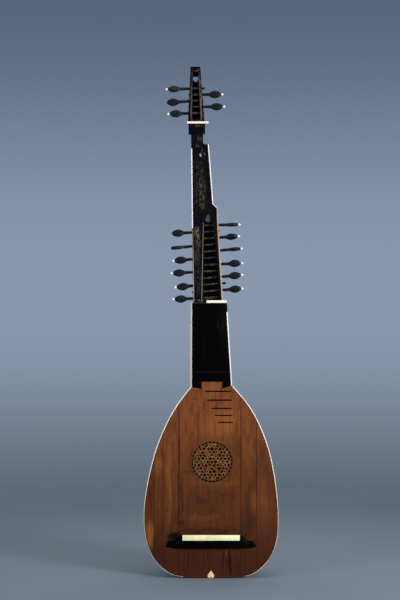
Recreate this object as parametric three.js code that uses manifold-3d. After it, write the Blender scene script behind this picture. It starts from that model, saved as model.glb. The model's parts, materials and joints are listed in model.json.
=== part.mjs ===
// Theorbo: a lute with a ribbed bowl, a short fretted neck and a long offset extension that
// carries a second, smaller pegbox. Millimetres, +Z up along the strings, the soundboard
// faces -Y, the bass side is at -X. The finished group has its origin at the hanging hole.
import * as THREE from 'three';
import { mergeVertices } from 'three/addons/utils/BufferGeometryUtils.js';
import Module from 'manifold-3d';

const wasm = await Module();
wasm.setup();

// Clearances
const seatGap = 0.3;          // between two pieces that are glued face to face
const pegClearance = 0.15;    // round a peg in its hole
const overrun = 4;            // how far a cutting shape passes the face that it cuts
const stepRise = 0.4;         // height of a square step in a lofted piece

// Body in plan and in depth
const bodyLength = 507;
const bodyWidth = 355.8;
const neckJointWidth = 109.8;
const bowlDepth = 148;
const neckJointDepth = 34;
const ribCount = 11;
const ribThickness = 1.8;
const claspThickness = 1.5;
const claspReach = 34;        // how far the clasp comes down the bowl from the soundboard
const claspHeight = 76;
const tailStart = 0.02;       // share of the outline where the rib ends meet the tail

// Outline from the tail to the neck joint: half the width there, the height, and how far the
// middle lies to the treble side. Heights are shares of the length, the rest of half the width.
const outlineShares = [
  [0, 0, 0.004], [0.385, 0.005, 0.005], [0.612, 0.021, 0.006], [0.797, 0.073, 0.004],
  [0.912, 0.135, 0.003], [0.982, 0.219, 0], [1, 0.322, -0.005], [0.98, 0.427, -0.003],
  [0.923, 0.552, 0.007], [0.834, 0.677, 0.015], [0.693, 0.802, 0.02], [0.523, 0.906, 0.02],
];
const widestShare = 0.322;
const jointLeanShare = 0.01;

// Soundboard and its trim
const boardThickness = 2;
const bindingWidth = 2.7;
const bindingEndBass = 75;    // where the binding stops at the tail, from the middle
const bindingEndTreble = 86;
const heartWidth = 17.2;
const heartHeight = 20.4;
const heartShares = [           // half its outline from under the point to the notch
  [0.06, 0.91], [0.2, 0.74], [0.377, 0.56], [0.49, 0.4], [0.49, 0.18], [0.36, 0.01],
  [0.14, 0.02], [0, 0.14],
];
const heartDepth = 1.2;
const heartRise = 0;          // from the tail edge to the lobes of the heart
const heartMiddle = -1.3;     // from the centre line

// Rose: a lattice of strands cut in the soundboard
const roseHeightShare = 0.604; // of the body's length
const roseMiddle = 1.4;       // from the centre line, to the treble side
const roseRadius = 55;
const roseStrand = 4;
const rosePitch = 14.4;
const roseThickness = 1.4;

// Tongue of the soundboard between the two points of the fingerboard
const tongueRise = 10.7;
const tongueBass = 26.2;
const tongueTreble = 28;
const pointDropBass = 7;
const pointDropTreble = 7.2;
const pointEdgeBass = 4.6;    // how far the bass point's outer corner lies below the joint

// Bars under the soundboard, at these shares of the body's length
const barThickness = 6;
const barDepth = 16;
const tailBarShare = 0.11;
const bridgeBarShare = 0.315;
const lowerRoseBarShare = 0.465;
const upperRoseBarShare = 0.745;

// Blocks inside the bowl
const neckBlockLength = 62;
const linerHeight = 12;
const linerDepth = 30;
const linerWidth = 190;

// Neck and fingerboard
const neckLength = 219;
const neckFootBass = 57;      // from the centre line to the outer edge at the body
const neckFootTreble = 55;
const neckTopBass = 54.6;     // from the centre line to the outer edge at the nut
const neckTopTreble = 41.2;
const neckTopDepth = 30;
const bassEdgingFoot = 5.4;   // width of the neck's bass edging at the body and at the nut
const bassEdgingTop = 3.6;
const trebleEdgingWidth = 2.9;
const edgingWidth = 2.4;
const edgingDepth = 5;
const edgingBreak = 24;       // length of treble edging that is missing below the nut

// Strings: the frets follow from the stopped string length
const stringLength = 628.6;
const firstWoodFret = 8;
const woodFretCount = 5;
const fretWidths = [3.5, 3.5, 3, 3, 3];
const fretHeight = 1.3;
const fretDropShares = [0.02, 0.07, 0.12, 0.05, 0.04]; // set low by these shares of a semitone
const fretBassStart = 15.6;   // bass end of the first fret, from the centre line
const fretBassShifts = [0, -2.4, 0, 0, 0]; // set out by hand, to the bass side
const fretBassStep = 8.35;     // how much further to the treble side each next fret starts
const fretTrebleEnd = 52;
const fretTrebleStep = 1.1;

// Bridge, its plate and its two carved ends
const bridgeCentre = -0.9;
const bridgeLength = 237;
const bridgeHeight = 36;
const bridgeDepth = 9;
const bridgePlateLength = 151.3;
const bridgePlateHeight = 14.6;
const bridgePlateRise = 2.9;  // from the end of the stopped strings up to the plate
const bridgePlateThickness = 2.2;

// Carved end of the bridge from the plate's end to its tip: shares of that length, and of the
// bridge's height from its foot
const bridgeEndShares = [
  [0.05, 1], [0.5, 0.54], [0.56, 0.52], [0.63, 0.57], [0.8, 0.56], [0.97, 0.31], [1, 0.11],
  [0.45, 0],
];

// Lower nut
const lowerNutBass = -12.8;
const lowerNutTreble = 40.6;
const lowerNutHeight = 6.6;
const lowerNutDepth = 9;

// Extension with the lower pegbox: heights are above the neck's top
const bassFootSide = 48.2;    // from the centre line to the extension's bass side at its foot
const bassSide = 51.2;        // the same where the white edging starts
const bassDrift = 2.6;        // how far that side drifts outwards from there to the top
const boxFootWidth = 75.6;
const boxTopWidth = 66.5;
const shoulderWidth = 65.3;
const waistWidth = 54.2;
const extensionTopWidth = 43.9;
const stubWidth = 35.2;
const boxTaperHeight = 198;
const shoulderLow = 251;
const shoulderHigh = 261.6;
const extensionEnd = 419;
const stubEnd = 447.6;
const boxFootDepth = 44;
const boxTopDepth = 36;
const waistDepth = 30;
const stubDepth = 26;
const backChamfer = 7;

// Channel of the lower pegbox
const channelFoot = 10.6;
const channelLength = 200.6;
const bassWallFoot = 26.6;
const bassWallTop = 32.3;
const trebleCheekFoot = 3;
const trebleCheekTop = 9.6;
const channelFloor = 7;

// White and bone edging on the extension
const bassEdgingStart = 197;
const bassEdgingEnd = 408;
const boneEdgingWidth = 3.4;

// Collar moulding and the upper nut on it
const headMiddle = -38.5;     // middle of the collar, from the centre line
const collarHeight = 25.6;
const collarWidth = 44;
const collarFront = 4.5;
const collarBack = 3;
const grooveDepth = 1.6;
const collarGrooveShares = [[0.1, 0.17], [0.28, 0.35], [0.46, 0.53]];
const grooveEdgeShare = 0.03;
const upperNutHeight = 5.2;
const upperNutDepth = 7;
const upperNutBass = 26;      // from the collar's middle
const upperNutTreble = 30.8;

// Upper pegbox
const upperBoxLength = 151.1;
const upperBoxFootWidth = 44.3;
const upperBoxTopWidth = 25.5;
const upperBoxFootDepth = 30;
const upperBoxTopDepth = 18;
const upperBoxShift = 1.5;    // how far its foot stands to the bass side of the collar's middle
const upperBoxLean = 2.2;     // how much further its top does
const upperChannelFoot = 14;
const upperHeadLength = 13;   // solid wood above the channel
const upperCheekFoot = 9.8;
const upperCheekTop = 5.7;
const upperFloor = 5;
const hangHoleWidth = 14.2;
const hangHoleHeight = 15.2;
const hangHoleDrop = 39;      // from the pegbox's top down to the hole's tip
const hangHoleShares = [        // half its outline from beside the tip to the notch
  [0.12, 0.91], [0.3, 0.77], [0.45, 0.65], [0.5, 0.45], [0.48, 0.15], [0.33, 0], [0.12, 0.02],
  [0, 0.08],
];

// Pegs
const shankRadius = 3.4;
const tipRadius = 3;
const neckRadius = 3.8;       // just under the head
const headLength = 33.5;
const headHalfWidth = 10.1;
const headHalfDepth = 5.3;
const headReach = 36;         // usual distance from the cheek to the middle of the head
const tipReach = 8;           // how far a long peg's tip passes the far cheek
const pipRadius = 3.2;
const pipLength = 6.6;
const pegSides = 8;
const headSteps = 6;
const headFullness = 0.65;    // lower is fuller towards the ends of the head
const lowerPegPitch = 17.5;
const lowerPegTop = 5.1;      // from the channel's top to the first rung
const lowerPegDepth = 15;     // from the front of the pegbox to the peg's axis
const upperPitchShare = 0.1306; // from one rung to the next, of the upper channel's length
const upperRungShare = 0.35;  // from the channel's top to the first rung, of the same length
const upperPegDepth = 11;

// One row for each peg: side, distance of the head as a share of the usual one, tip past the
// far cheek as a share of a long one, tilt and turn of the head in degrees, and its pip
const lowerPegShares = [
  { side: 1, out: 1.085, tip: -0.1, tilt: 1, turn: 84, pip: true },
  { side: -1, out: 1.025, tip: 0.7, tilt: 2.9, turn: 8, pip: false },
  { side: 1, out: 0.99, tip: -0.1, tilt: 3.7, turn: 38, pip: true },
  { side: -1, out: 1.115, tip: -0.1, tilt: 5.4, turn: 80, pip: false },
  { side: 1, out: 1.145, tip: -0.1, tilt: 4.8, turn: 82, pip: true },
  { side: -1, out: 0.86, tip: -0.1, tilt: 4.4, turn: -12, pip: true },
  { side: 1, out: 1.11, tip: -0.1, tilt: 2.8, turn: 14, pip: true },
  { side: -1, out: 0.99, tip: 0.5, tilt: 3.2, turn: 10, pip: true },
  { side: 1, out: 1.06, tip: -0.1, tilt: 5, turn: -9, pip: true },
  { side: -1, out: 0.73, tip: 1.8, tilt: 4.8, turn: 5, pip: true },
  { side: 1, out: 1.025, tip: 0.3, tilt: 4.4, turn: 16, pip: true },
  { side: -1, out: 0.89, tip: -0.1, tilt: 2.5, turn: -6, pip: true },
];
const upperPegShares = [
  { side: -1, out: 1.135, tip: 1, tilt: 1.4, turn: 28, pip: true },
  { side: 1, out: 0.915, tip: 0.2, tilt: 0.5, turn: 15, pip: true },
  { side: -1, out: 1.165, tip: 0.15, tilt: 3.7, turn: -20, pip: false },
  { side: 1, out: 0.97, tip: 0.1, tilt: 0.5, turn: -10, pip: true },
  { side: -1, out: 0.92, tip: 0.15, tilt: 2, turn: 12, pip: true },
];

// Fineness of curved shapes
const ribStations = 20;
const boardStations = 40;
const discSides = 48;
const neckSteps = 12;
const holeSides = 12;

// Heights of the rose, the bars and the joints between the main pieces
const roseHeight = roseHeightShare * bodyLength;
const barHeights = {
  tail_bar: tailBarShare * bodyLength,
  bridge_bar: bridgeBarShare * bodyLength,
  lower_rose_bar: lowerRoseBarShare * bodyLength,
  upper_rose_bar: upperRoseBarShare * bodyLength,
};
const neckTop = bodyLength + neckLength;
const collarFoot = neckTop + stubEnd;
const collarTop = collarFoot + collarHeight;
const instrumentTop = collarTop + upperBoxLength;
const frontFace = -boardThickness;
const upperChannelTop = upperBoxLength - upperHeadLength;
const upperChannelLength = upperChannelTop - upperChannelFoot;

const colours = {
  soundboard: '#6b3a22',
  rib: '#5a3220',
  spruce: '#a98358',
  ebony: '#0e0c0b',
  stained: '#1d1814',
  ivory: '#ece0be',
  bone: '#c9b394',
};

const theorbo = new THREE.Group();
const instrument = new THREE.Group();
theorbo.add(instrument);

// Adds one named piece with its own finish
function addPiece(name, geometry, colour, roughness = 0.5) {
  const material = new THREE.MeshStandardMaterial({ color: colour, roughness, metalness: 0 });
  const mesh = new THREE.Mesh(geometry, material);
  mesh.name = name;
  instrument.add(mesh);
  return mesh;
}

// A geometry as a solid that can be joined and cut
function solidOf(geometry) {
  const bare = geometry.clone();
  bare.deleteAttribute('normal');
  bare.deleteAttribute('uv');
  const merged = mergeVertices(bare);
  const vertProperties = new Float32Array(merged.attributes.position.array);
  const triVerts = new Uint32Array(merged.index.array);
  return new wasm.Manifold(new wasm.Mesh({ numProp: 3, vertProperties, triVerts }));
}

// A joined or cut solid as a geometry again
function geometryOf(solid) {
  const mesh = solid.getMesh();
  const geometry = new THREE.BufferGeometry();
  geometry.setAttribute('position', new THREE.BufferAttribute(mesh.vertProperties, 3));
  geometry.setIndex(new THREE.BufferAttribute(mesh.triVerts, 1));
  geometry.computeVertexNormals();
  return geometry;
}

// A box from its two opposite corners
function boxBetween(low, high) {
  const size = high.map((value, i) => value - low[i]);
  const middle = high.map((value, i) => (value + low[i]) / 2);
  const geometry = new THREE.BoxGeometry(...size);
  geometry.translate(...middle);
  return geometry;
}

// An outline seen from the front, [x, z] points, made solid between two depths
function plate(points, front, back) {
  const shape = new THREE.Shape(points.map(([x, z]) => new THREE.Vector2(x, z)));
  const geometry = new THREE.ExtrudeGeometry(shape, { depth: back - front, bevelEnabled: false });
  geometry.rotateX(Math.PI / 2);
  geometry.translate(0, back, 0);
  return geometry;
}

// A closed skin through rings of points, each ring with as many points as the next.
// The rings run so that their points turn anticlockwise seen from the last ring.
function loft(rings) {
  const size = rings[0].length;
  const positions = rings.flat().flatMap((point) => point.toArray());
  const index = [];
  for (let ring = 0; ring < rings.length - 1; ring++) {
    for (let i = 0; i < size; i++) {
      const a = ring * size + i;
      const b = ring * size + (i + 1) % size;
      index.push(a, b, b + size, a, b + size, a + size);
    }
  }
  const last = (rings.length - 1) * size;
  for (let i = 1; i < size - 1; i++) {
    index.push(0, i + 1, i);
    index.push(last, last + i, last + i + 1);
  }
  const geometry = new THREE.BufferGeometry();
  geometry.setAttribute('position', new THREE.Float32BufferAttribute(positions, 3));
  geometry.setIndex(index);
  geometry.computeVertexNormals();
  return geometry;
}

// The value at a height on a line through two known heights
function between(height, lowHeight, lowValue, highHeight, highValue) {
  return THREE.MathUtils.mapLinear(height, lowHeight, highHeight, lowValue, highValue);
}

// Outline of the body, closed at the neck joint: half the width, the height and the middle
const outline = new THREE.CatmullRomCurve3([
  ...outlineShares.map(([width, height, lean]) => new THREE.Vector3(
    width * bodyWidth / 2,
    height * bodyLength,
    lean * bodyWidth / 2,
  )),
  new THREE.Vector3(neckJointWidth / 2, bodyLength, jointLeanShare * bodyWidth / 2),
], false, 'catmullrom');

// A point of the bowl before any inset: u runs from the tail to the neck, angle from the
// treble edge of the soundboard round the back to its bass edge
function bowlSkin(u, angle) {
  const at = outline.getPointAt(u);
  const widestRatio = bowlDepth / (bodyWidth / 2);
  const neckRatio = neckJointDepth / (neckJointWidth / 2);
  const ratio = between(at.y, widestShare * bodyLength, widestRatio, bodyLength, neckRatio);
  const depth = at.x * ratio * Math.sin(angle);
  return new THREE.Vector3(at.z + at.x * Math.cos(angle), seatGap + depth, at.y);
}

// The same point set in by a thickness. At the neck joint it stays in the joint's plane.
function bowlPoint(u, angle, inset) {
  const step = 0.002;
  const lowU = Math.max(u - step, 0);
  const highU = Math.min(u + step, 1);
  const along = bowlSkin(highU, angle).sub(bowlSkin(lowU, angle)).normalize();
  const around = bowlSkin(u, angle + step).sub(bowlSkin(u, angle - step)).normalize();
  const inward = new THREE.Vector3().crossVectors(along, around).normalize();
  const skin = bowlSkin(u, angle);
  const point = skin.clone().addScaledVector(inward, inset);
  if (u === 1) point.addScaledVector(along, (skin.z - point.z) / along.z);
  return point;
}

// Stations along the outline, from the start to the neck joint
function stationList(count, start) {
  return Array.from({ length: count + 1 }, (_, i) => start + (1 - start) * i / count);
}

// A closed solid of the bowl at one inset, flat at the front
function bowlSolid(inset) {
  const rings = stationList(ribStations, tailStart).map((u) => Array.from(
    { length: ribCount + 1 },
    (_, i) => bowlPoint(u, Math.PI * i / ribCount, inset),
  ));
  return solidOf(loft(rings));
}

// One rib between two lines that run from the tail to the neck
function ribGeometry(number) {
  const outerInset = claspThickness + seatGap;
  const innerInset = outerInset + ribThickness;
  const rings = stationList(ribStations, tailStart).map((u) => {
    const ends = [number, number + 1].map((i) => Math.PI * i / ribCount);
    const outer = ends.map((angle) => bowlPoint(u, angle, outerInset));
    const inner = ends.map((angle) => bowlPoint(u, angle, innerInset));
    const across = outer[1].clone().sub(outer[0]).setLength(seatGap / 2);
    const isFirst = number === 0;
    const isLast = number === ribCount - 1;
    if (!isFirst) outer[0].add(across);
    if (!isFirst) inner[0].add(across);
    if (!isLast) outer[1].sub(across);
    if (!isLast) inner[1].sub(across);
    return [outer[0], outer[1], inner[1], inner[0]];
  });
  return loft(rings);
}

function addBowl() {
  for (let i = 0; i < ribCount; i++) {
    const name = `rib_${String(i + 1).padStart(2, '0')}`;
    addPiece(name, ribGeometry(i), colours.rib, 0.4);
  }
  const claspBox = solidOf(boxBetween(
    [-bodyWidth, seatGap, -overrun],
    [bodyWidth, claspReach, claspHeight],
  ));
  const clasp = bowlSolid(0).subtract(bowlSolid(claspThickness)).intersect(claspBox);
  addPiece('end_clasp', geometryOf(clasp), colours.rib, 0.4);
}

// Blocks and bars fill the inside of the ribs where they are trimmed to it
function addInnerPieces() {
  const inside = bowlSolid(claspThickness + seatGap + ribThickness + seatGap);
  const trimmed = (low, high) => geometryOf(inside.intersect(solidOf(boxBetween(low, high))));
  addPiece('neck_block', trimmed(
    [-neckJointWidth, seatGap, bodyLength - neckBlockLength],
    [neckJointWidth, bowlDepth, bodyLength],
  ), colours.spruce, 0.8);
  addPiece('end_liner', trimmed(
    [-linerWidth / 2, seatGap, 0],
    [linerWidth / 2, linerDepth, linerHeight],
  ), colours.spruce, 0.8);
  for (const [name, height] of Object.entries(barHeights)) {
    addPiece(name, trimmed(
      [-bodyWidth, seatGap, height - barThickness / 2],
      [bodyWidth, seatGap + barDepth, height + barThickness / 2],
    ), colours.spruce, 0.8);
  }
}

// A heart with its point up, its lobes on the height of the base
function heartOutline(halfShares, width, height, middle, base) {
  const edge = halfShares.slice(0, -1);
  const shares = [
    [0, 1], ...edge.map(([x, z]) => [-x, z]),
    halfShares.at(-1), ...[...edge].reverse(),
  ];
  return shares.map(([x, z]) => [middle + x * width, base + z * height]);
}

// Points of the body outline on the front, set in, from the tail to the neck joint
function edgePoints(side, inset) {
  return stationList(boardStations, 0).map((u) => {
    const point = bowlPoint(u, side > 0 ? 0 : Math.PI, inset);
    return [point.x, point.z];
  });
}

// The soundboard's outline: inside the binding, and at full size where there is none
function boardOutline() {
  const halfOf = (side, bindingEnd) => {
    const outer = edgePoints(side, 0);
    const inner = edgePoints(side, bindingWidth + seatGap);
    const isBare = ([x]) => Math.abs(x) < bindingEnd;
    const isLow = ([, z]) => z < widestShare * bodyLength;
    const bare = outer.filter((point) => isBare(point) && isLow(point));
    const bound = inner.filter((point) => !(isBare(point) && isLow(point)));
    return { bare, bound };
  };
  const treble = halfOf(1, bindingEndTreble);
  const bass = halfOf(-1, bindingEndBass);
  const tongue = [
    [tongueTreble - seatGap, bodyLength - pointDropTreble - seatGap],
    [tongueTreble - seatGap, bodyLength + tongueRise],
    [seatGap - tongueBass, bodyLength + tongueRise],
    [seatGap - tongueBass, bodyLength - pointDropBass - seatGap],
    [bass.bound.at(-1)[0], bodyLength - pointEdgeBass - seatGap],
  ];
  const bassBound = bass.bound.filter(([, z]) => z < bodyLength - pointEdgeBass - seatGap);
  return [
    ...treble.bare, ...treble.bound, ...tongue,
    ...bassBound.reverse(), ...bass.bare.slice(1).reverse(),
  ];
}

// The rose: three families of straight strands that cross in a round opening
function roseLattice() {
  const front = frontFace + (boardThickness - roseThickness) / 2;
  const reach = roseRadius + overrun;
  const strandsAside = Math.floor(roseRadius / rosePitch);
  const disc = new THREE.CylinderGeometry(
    roseRadius + overrun / 2, roseRadius + overrun / 2, roseThickness, discSides,
  );
  disc.translate(roseMiddle, front + roseThickness / 2, roseHeight);
  const strands = [];
  for (const direction of [0, 60, 120]) {
    for (let i = -strandsAside; i < strandsAside; i++) {
      const middle = (i + 0.5) * rosePitch;
      const strand = boxBetween(
        [-reach, front, middle - roseStrand / 2],
        [reach, front + roseThickness, middle + roseStrand / 2],
      );
      strand.rotateY(THREE.MathUtils.degToRad(direction));
      strand.translate(roseMiddle, 0, roseHeight);
      strands.push(solidOf(strand));
    }
  }
  const lattice = strands.reduce((joined, strand) => joined.add(strand));
  return lattice.intersect(solidOf(disc));
}

function addSoundboard() {
  const opening = new THREE.CylinderGeometry(
    roseRadius, roseRadius, boardThickness + overrun, discSides,
  );
  opening.translate(roseMiddle, frontFace / 2, roseHeight);
  const pocket = plate(
    heartOutline(
      heartShares,
      heartWidth + 2 * seatGap,
      heartHeight + seatGap,
      heartMiddle,
      heartRise - seatGap,
    ),
    frontFace - overrun,
    frontFace + heartDepth,
  );
  const board = solidOf(plate(boardOutline(), frontFace, 0))
    .subtract(solidOf(opening))
    .add(roseLattice())
    .subtract(solidOf(pocket));
  addPiece('soundboard', geometryOf(board), colours.soundboard, 0.5);
  addPiece('heart_inlay', plate(
    heartOutline(heartShares, heartWidth, heartHeight, heartMiddle, heartRise),
    frontFace,
    frontFace + heartDepth - seatGap,
  ), colours.ivory, 0.35);
}

// A strip of binding let into the edge of the soundboard
function addBinding(name, side, bindingEnd) {
  const isBound = ([x, z]) => Math.abs(x) >= bindingEnd || z >= widestShare * bodyLength;
  const outer = edgePoints(side, 0).filter(isBound);
  const inner = edgePoints(side, bindingWidth).filter(isBound);
  addPiece(name, plate([...outer, ...inner.reverse()], frontFace, 0), colours.ivory, 0.4);
}

// The fingerboard, and the two points of ebony that end it over the body
function addFingerboard() {
  const foot = bodyLength + tongueRise + seatGap;
  const topBass = bassEdgingTop + seatGap - neckTopBass;
  const topTreble = neckTopTreble - trebleEdgingWidth - seatGap;
  const footBass = bassEdgingFoot + seatGap - neckFootBass;
  const footTreble = neckFootTreble - trebleEdgingWidth - seatGap;
  const onEdge = (height, low, high) => between(height, bodyLength, low, neckTop, high);
  addPiece('fingerboard', plate([
    [onEdge(foot, footBass, topBass), foot],
    [onEdge(foot, footTreble, topTreble), foot],
    [topTreble, neckTop],
    [topBass, neckTop],
  ], frontFace, 0), colours.ebony, 0.3);
  const pointTop = bodyLength + tongueRise;
  const cornerOf = (side) => edgePoints(side, bindingWidth + seatGap).at(-1)[0];
  const bassCorner = Math.max(cornerOf(-1), footBass);
  const trebleCorner = Math.min(cornerOf(1), footTreble);
  addPiece('fingerboard_point_bass', plate([
    [bassCorner, bodyLength],
    [bassCorner, bodyLength - pointEdgeBass],
    [-tongueBass, bodyLength - pointDropBass],
    [-tongueBass, pointTop],
    [onEdge(pointTop, footBass, topBass), pointTop],
  ], frontFace, 0), colours.ebony, 0.3);
  addPiece('fingerboard_point_treble', plate([
    [tongueTreble, bodyLength - pointDropTreble],
    [trebleCorner, bodyLength],
    [onEdge(pointTop, footTreble, topTreble), pointTop],
    [tongueTreble, pointTop],
  ], frontFace, 0), colours.ebony, 0.3);
}

// Ring of a neck section: flat front, half-round back
function neckRing(height, bass, treble, depth) {
  const middle = (treble - bass) / 2;
  const half = (treble + bass) / 2;
  return Array.from({ length: neckSteps + 1 }, (_, i) => {
    const angle = Math.PI * i / neckSteps;
    const y = seatGap + depth * Math.sin(angle);
    return new THREE.Vector3(middle + half * Math.cos(angle), y, height);
  });
}

function addNeck() {
  const foot = bodyLength + seatGap;
  addPiece('neck', loft([
    neckRing(foot, neckFootBass, neckFootTreble, neckJointDepth),
    neckRing(neckTop, neckTopBass, neckTopTreble, neckTopDepth),
  ]), colours.ebony, 0.35);
  const strip = (top, outerAt, innerAt) => plate([
    [innerAt(foot), foot],
    [outerAt(foot), foot],
    [outerAt(top), top],
    [innerAt(top), top],
  ], frontFace, 0);
  const line = (low, high) => (height) => between(height, bodyLength, low, neckTop, high);
  addPiece('neck_edging_bass', strip(
    neckTop,
    line(-neckFootBass, -neckTopBass),
    line(bassEdgingFoot - neckFootBass, bassEdgingTop - neckTopBass),
  ), colours.ivory, 0.4);
  addPiece('neck_edging_treble', strip(
    neckTop - edgingBreak,
    line(neckFootTreble, neckTopTreble),
    line(neckFootTreble - trebleEdgingWidth, neckTopTreble - trebleEdgingWidth),
  ), colours.ivory, 0.4);
}

// Frets glued on the soundboard near where the equal semitones of the string fall
function addFrets() {
  for (let i = 0; i < woodFretCount; i++) {
    const number = firstWoodFret + i;
    const sounding = stringLength * 2 ** (-number / 12);
    const drop = fretDropShares[i] * sounding * (1 - 2 ** (-1 / 12));
    const height = neckTop - stringLength + sounding - drop;
    const bassEnd = fretBassStep * i - fretBassStart + fretBassShifts[i];
    const trebleEnd = fretTrebleEnd + fretTrebleStep * i;
    const fret = boxBetween(
      [bassEnd, frontFace - seatGap - fretHeight, height - fretWidths[i] / 2],
      [trebleEnd, frontFace - seatGap, height + fretWidths[i] / 2],
    );
    addPiece(`fret_${String(number).padStart(2, '0')}`, fret, colours.ebony, 0.5);
  }
}

// The bridge: a straight bar whose ends slope down, with a notch and a bump near each tip
function addBridge() {
  const top = neckTop - stringLength + bridgePlateRise + bridgePlateHeight;
  const foot = top - bridgeHeight;
  const plateHalf = bridgePlateLength / 2;
  const endLength = bridgeLength / 2 - plateHalf;
  const outlineOf = (side) => bridgeEndShares.map(([x, z]) => [
    bridgeCentre + side * (plateHalf + x * endLength),
    foot + z * bridgeHeight,
  ]);
  const back = frontFace - seatGap;
  const front = back - bridgeDepth;
  const points = [...outlineOf(1).reverse(), ...outlineOf(-1)];
  addPiece('bridge', plate(points, front, back), colours.ebony, 0.35);
  addPiece('bridge_plate', boxBetween(
    [bridgeCentre - plateHalf, front - seatGap - bridgePlateThickness, top - bridgePlateHeight],
    [bridgeCentre + plateHalf, front - seatGap, top],
  ), colours.ivory, 0.35);
}

// Edges of the extension at a height above the neck's top
function bassEdge(height) {
  if (height <= bassEdgingStart) {
    return between(height, 0, -bassFootSide, bassEdgingStart, -bassSide);
  }
  return between(height, bassEdgingStart, -bassSide, stubEnd, -bassSide - bassDrift);
}

const trebleEdgePoints = [
  [boxFootWidth, 0],
  [boxTopWidth, boxTaperHeight],
  [shoulderWidth, shoulderLow],
  [waistWidth, shoulderHigh],
  [extensionTopWidth, extensionEnd],
].map(([width, height]) => [bassEdge(height) + width, height]);

function trebleEdge(height) {
  const above = trebleEdgePoints.findIndex((point) => point[1] > height);
  const [high, low] = [trebleEdgePoints[above], trebleEdgePoints[above - 1]];
  return between(height, low[1], low[0], high[1], high[0]);
}

function extensionDepth(height) {
  if (height <= boxTaperHeight) return between(height, 0, boxFootDepth, boxTaperHeight, boxTopDepth);
  if (height <= shoulderHigh) {
    return between(height, boxTaperHeight, boxTopDepth, shoulderHigh, waistDepth);
  }
  return between(height, shoulderHigh, waistDepth, stubEnd, stubDepth);
}

// Ring of a beam section: square at the front, chamfered at the back
function beamRing(height, bass, treble, front, back, chamfer) {
  const corners = [
    [treble, front], [treble, back - chamfer], [treble - chamfer, back],
    [bass + chamfer, back], [bass, back - chamfer], [bass, front],
  ];
  return corners.map(([x, y]) => new THREE.Vector3(x, y, height));
}

// Ring of a plain rectangle
function boxRing(height, bass, treble, front, back) {
  const corners = [[treble, front], [treble, back], [bass, back], [bass, front]];
  return corners.map(([x, y]) => new THREE.Vector3(x, y, height));
}

// Where each peg of a pegbox sits: the point of its axis on its cheek, and its direction
function pegPlaces(rows, firstHeight, pitch, depth, edges) {
  return rows.map((row, i) => {
    const rung = firstHeight - i * pitch;
    const [bass, treble] = edges(rung);
    const tilt = THREE.MathUtils.degToRad(row.tilt);
    const middle = (bass + treble) / 2;
    const x = row.side > 0 ? treble : bass;
    const point = new THREE.Vector3(x, depth, rung + (x - middle) * Math.tan(tilt));
    const axis = new THREE.Vector3(row.side * Math.cos(tilt), 0, row.side * Math.sin(tilt));
    const span = (treble - bass) / Math.cos(tilt);
    return { ...row, point, axis, span };
  });
}

const lowerPegs = pegPlaces(
  lowerPegShares,
  neckTop + channelFoot + channelLength - lowerPegTop,
  lowerPegPitch,
  lowerPegDepth,
  (height) => [bassEdge(height - neckTop), trebleEdge(height - neckTop)],
);

// Edges of the upper pegbox at a height above the collar
function upperBoxEdges(height) {
  const foot = headMiddle - upperBoxShift;
  const middle = between(height, 0, foot, upperBoxLength, foot - upperBoxLean);
  const width = between(height, 0, upperBoxFootWidth, upperBoxLength, upperBoxTopWidth);
  return [middle - width / 2, middle + width / 2];
}

function upperBoxDepth(height) {
  return between(height, 0, upperBoxFootDepth, upperBoxLength, upperBoxTopDepth);
}

const upperPegs = pegPlaces(
  upperPegShares,
  collarTop + upperChannelTop - upperRungShare * upperChannelLength,
  upperPitchShare * upperChannelLength,
  upperPegDepth,
  (height) => upperBoxEdges(height - collarTop),
);

// A hole that clears a round peg through both cheeks
function pegHole(place) {
  const radius = (shankRadius + pegClearance) / Math.cos(Math.PI / holeSides);
  const length = place.span + 2 * overrun;
  const hole = new THREE.CylinderGeometry(radius, radius, length, holeSides);
  hole.translate(0, -length / 2 + overrun, 0);
  hole.applyQuaternion(new THREE.Quaternion().setFromUnitVectors(
    new THREE.Vector3(0, 1, 0), place.axis,
  ));
  hole.translate(...place.point.toArray());
  return solidOf(hole);
}

// The extension: one beam with the channel of the lower pegbox cut into it
function addExtension() {
  const foot = neckTop + seatGap;
  const ringAt = (height, right = trebleEdge(height)) => beamRing(
    height > 0 ? neckTop + height : foot,
    bassEdge(height),
    right,
    0,
    extensionDepth(height),
    backChamfer,
  );
  const stubRight = stubWidth - bassSide - bassDrift;
  const beam = loft([
    ringAt(0),
    ringAt(boxTaperHeight),
    ringAt(shoulderLow),
    ringAt(shoulderHigh),
    ringAt(extensionEnd, trebleEdgePoints.at(-1)[0]),
    ringAt(extensionEnd + stepRise, stubRight),
    ringAt(stubEnd, stubRight),
  ]);
  const channelRing = (height, bassWall, trebleCheek) => boxRing(
    neckTop + height,
    bassEdge(height) + bassWall,
    trebleEdge(height) - trebleCheek,
    -overrun,
    extensionDepth(height) - channelFloor,
  );
  const channel = loft([
    channelRing(channelFoot, bassWallFoot, trebleCheekFoot),
    channelRing(channelFoot + channelLength, bassWallTop, trebleCheekTop),
  ]);
  const rebateLine = [bassEdgingStart - seatGap, bassEdgingEnd + seatGap];
  const rebate = plate([
    ...rebateLine.map((height) => [bassEdge(height) - overrun, neckTop + height]),
    ...rebateLine.reverse().map((height) => [
      bassEdge(height) + edgingWidth + seatGap,
      neckTop + height,
    ]),
  ], -overrun, edgingDepth + seatGap);
  const cut = lowerPegs.reduce(
    (solid, place) => solid.subtract(pegHole(place)),
    solidOf(beam).subtract(solidOf(channel)).subtract(solidOf(rebate)),
  );
  addPiece('extension', geometryOf(cut), colours.stained, 0.45);
}

// A strip along one side of the extension, outwards from points above the neck's top
function sideStrip(edgePointList, side, width) {
  const inner = edgePointList.map(([x, z]) => [x, neckTop + z]);
  const outer = inner.map(([x, z]) => [x + side * width, z]);
  return plate([...inner, ...outer.reverse()], 0, edgingDepth);
}

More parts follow.
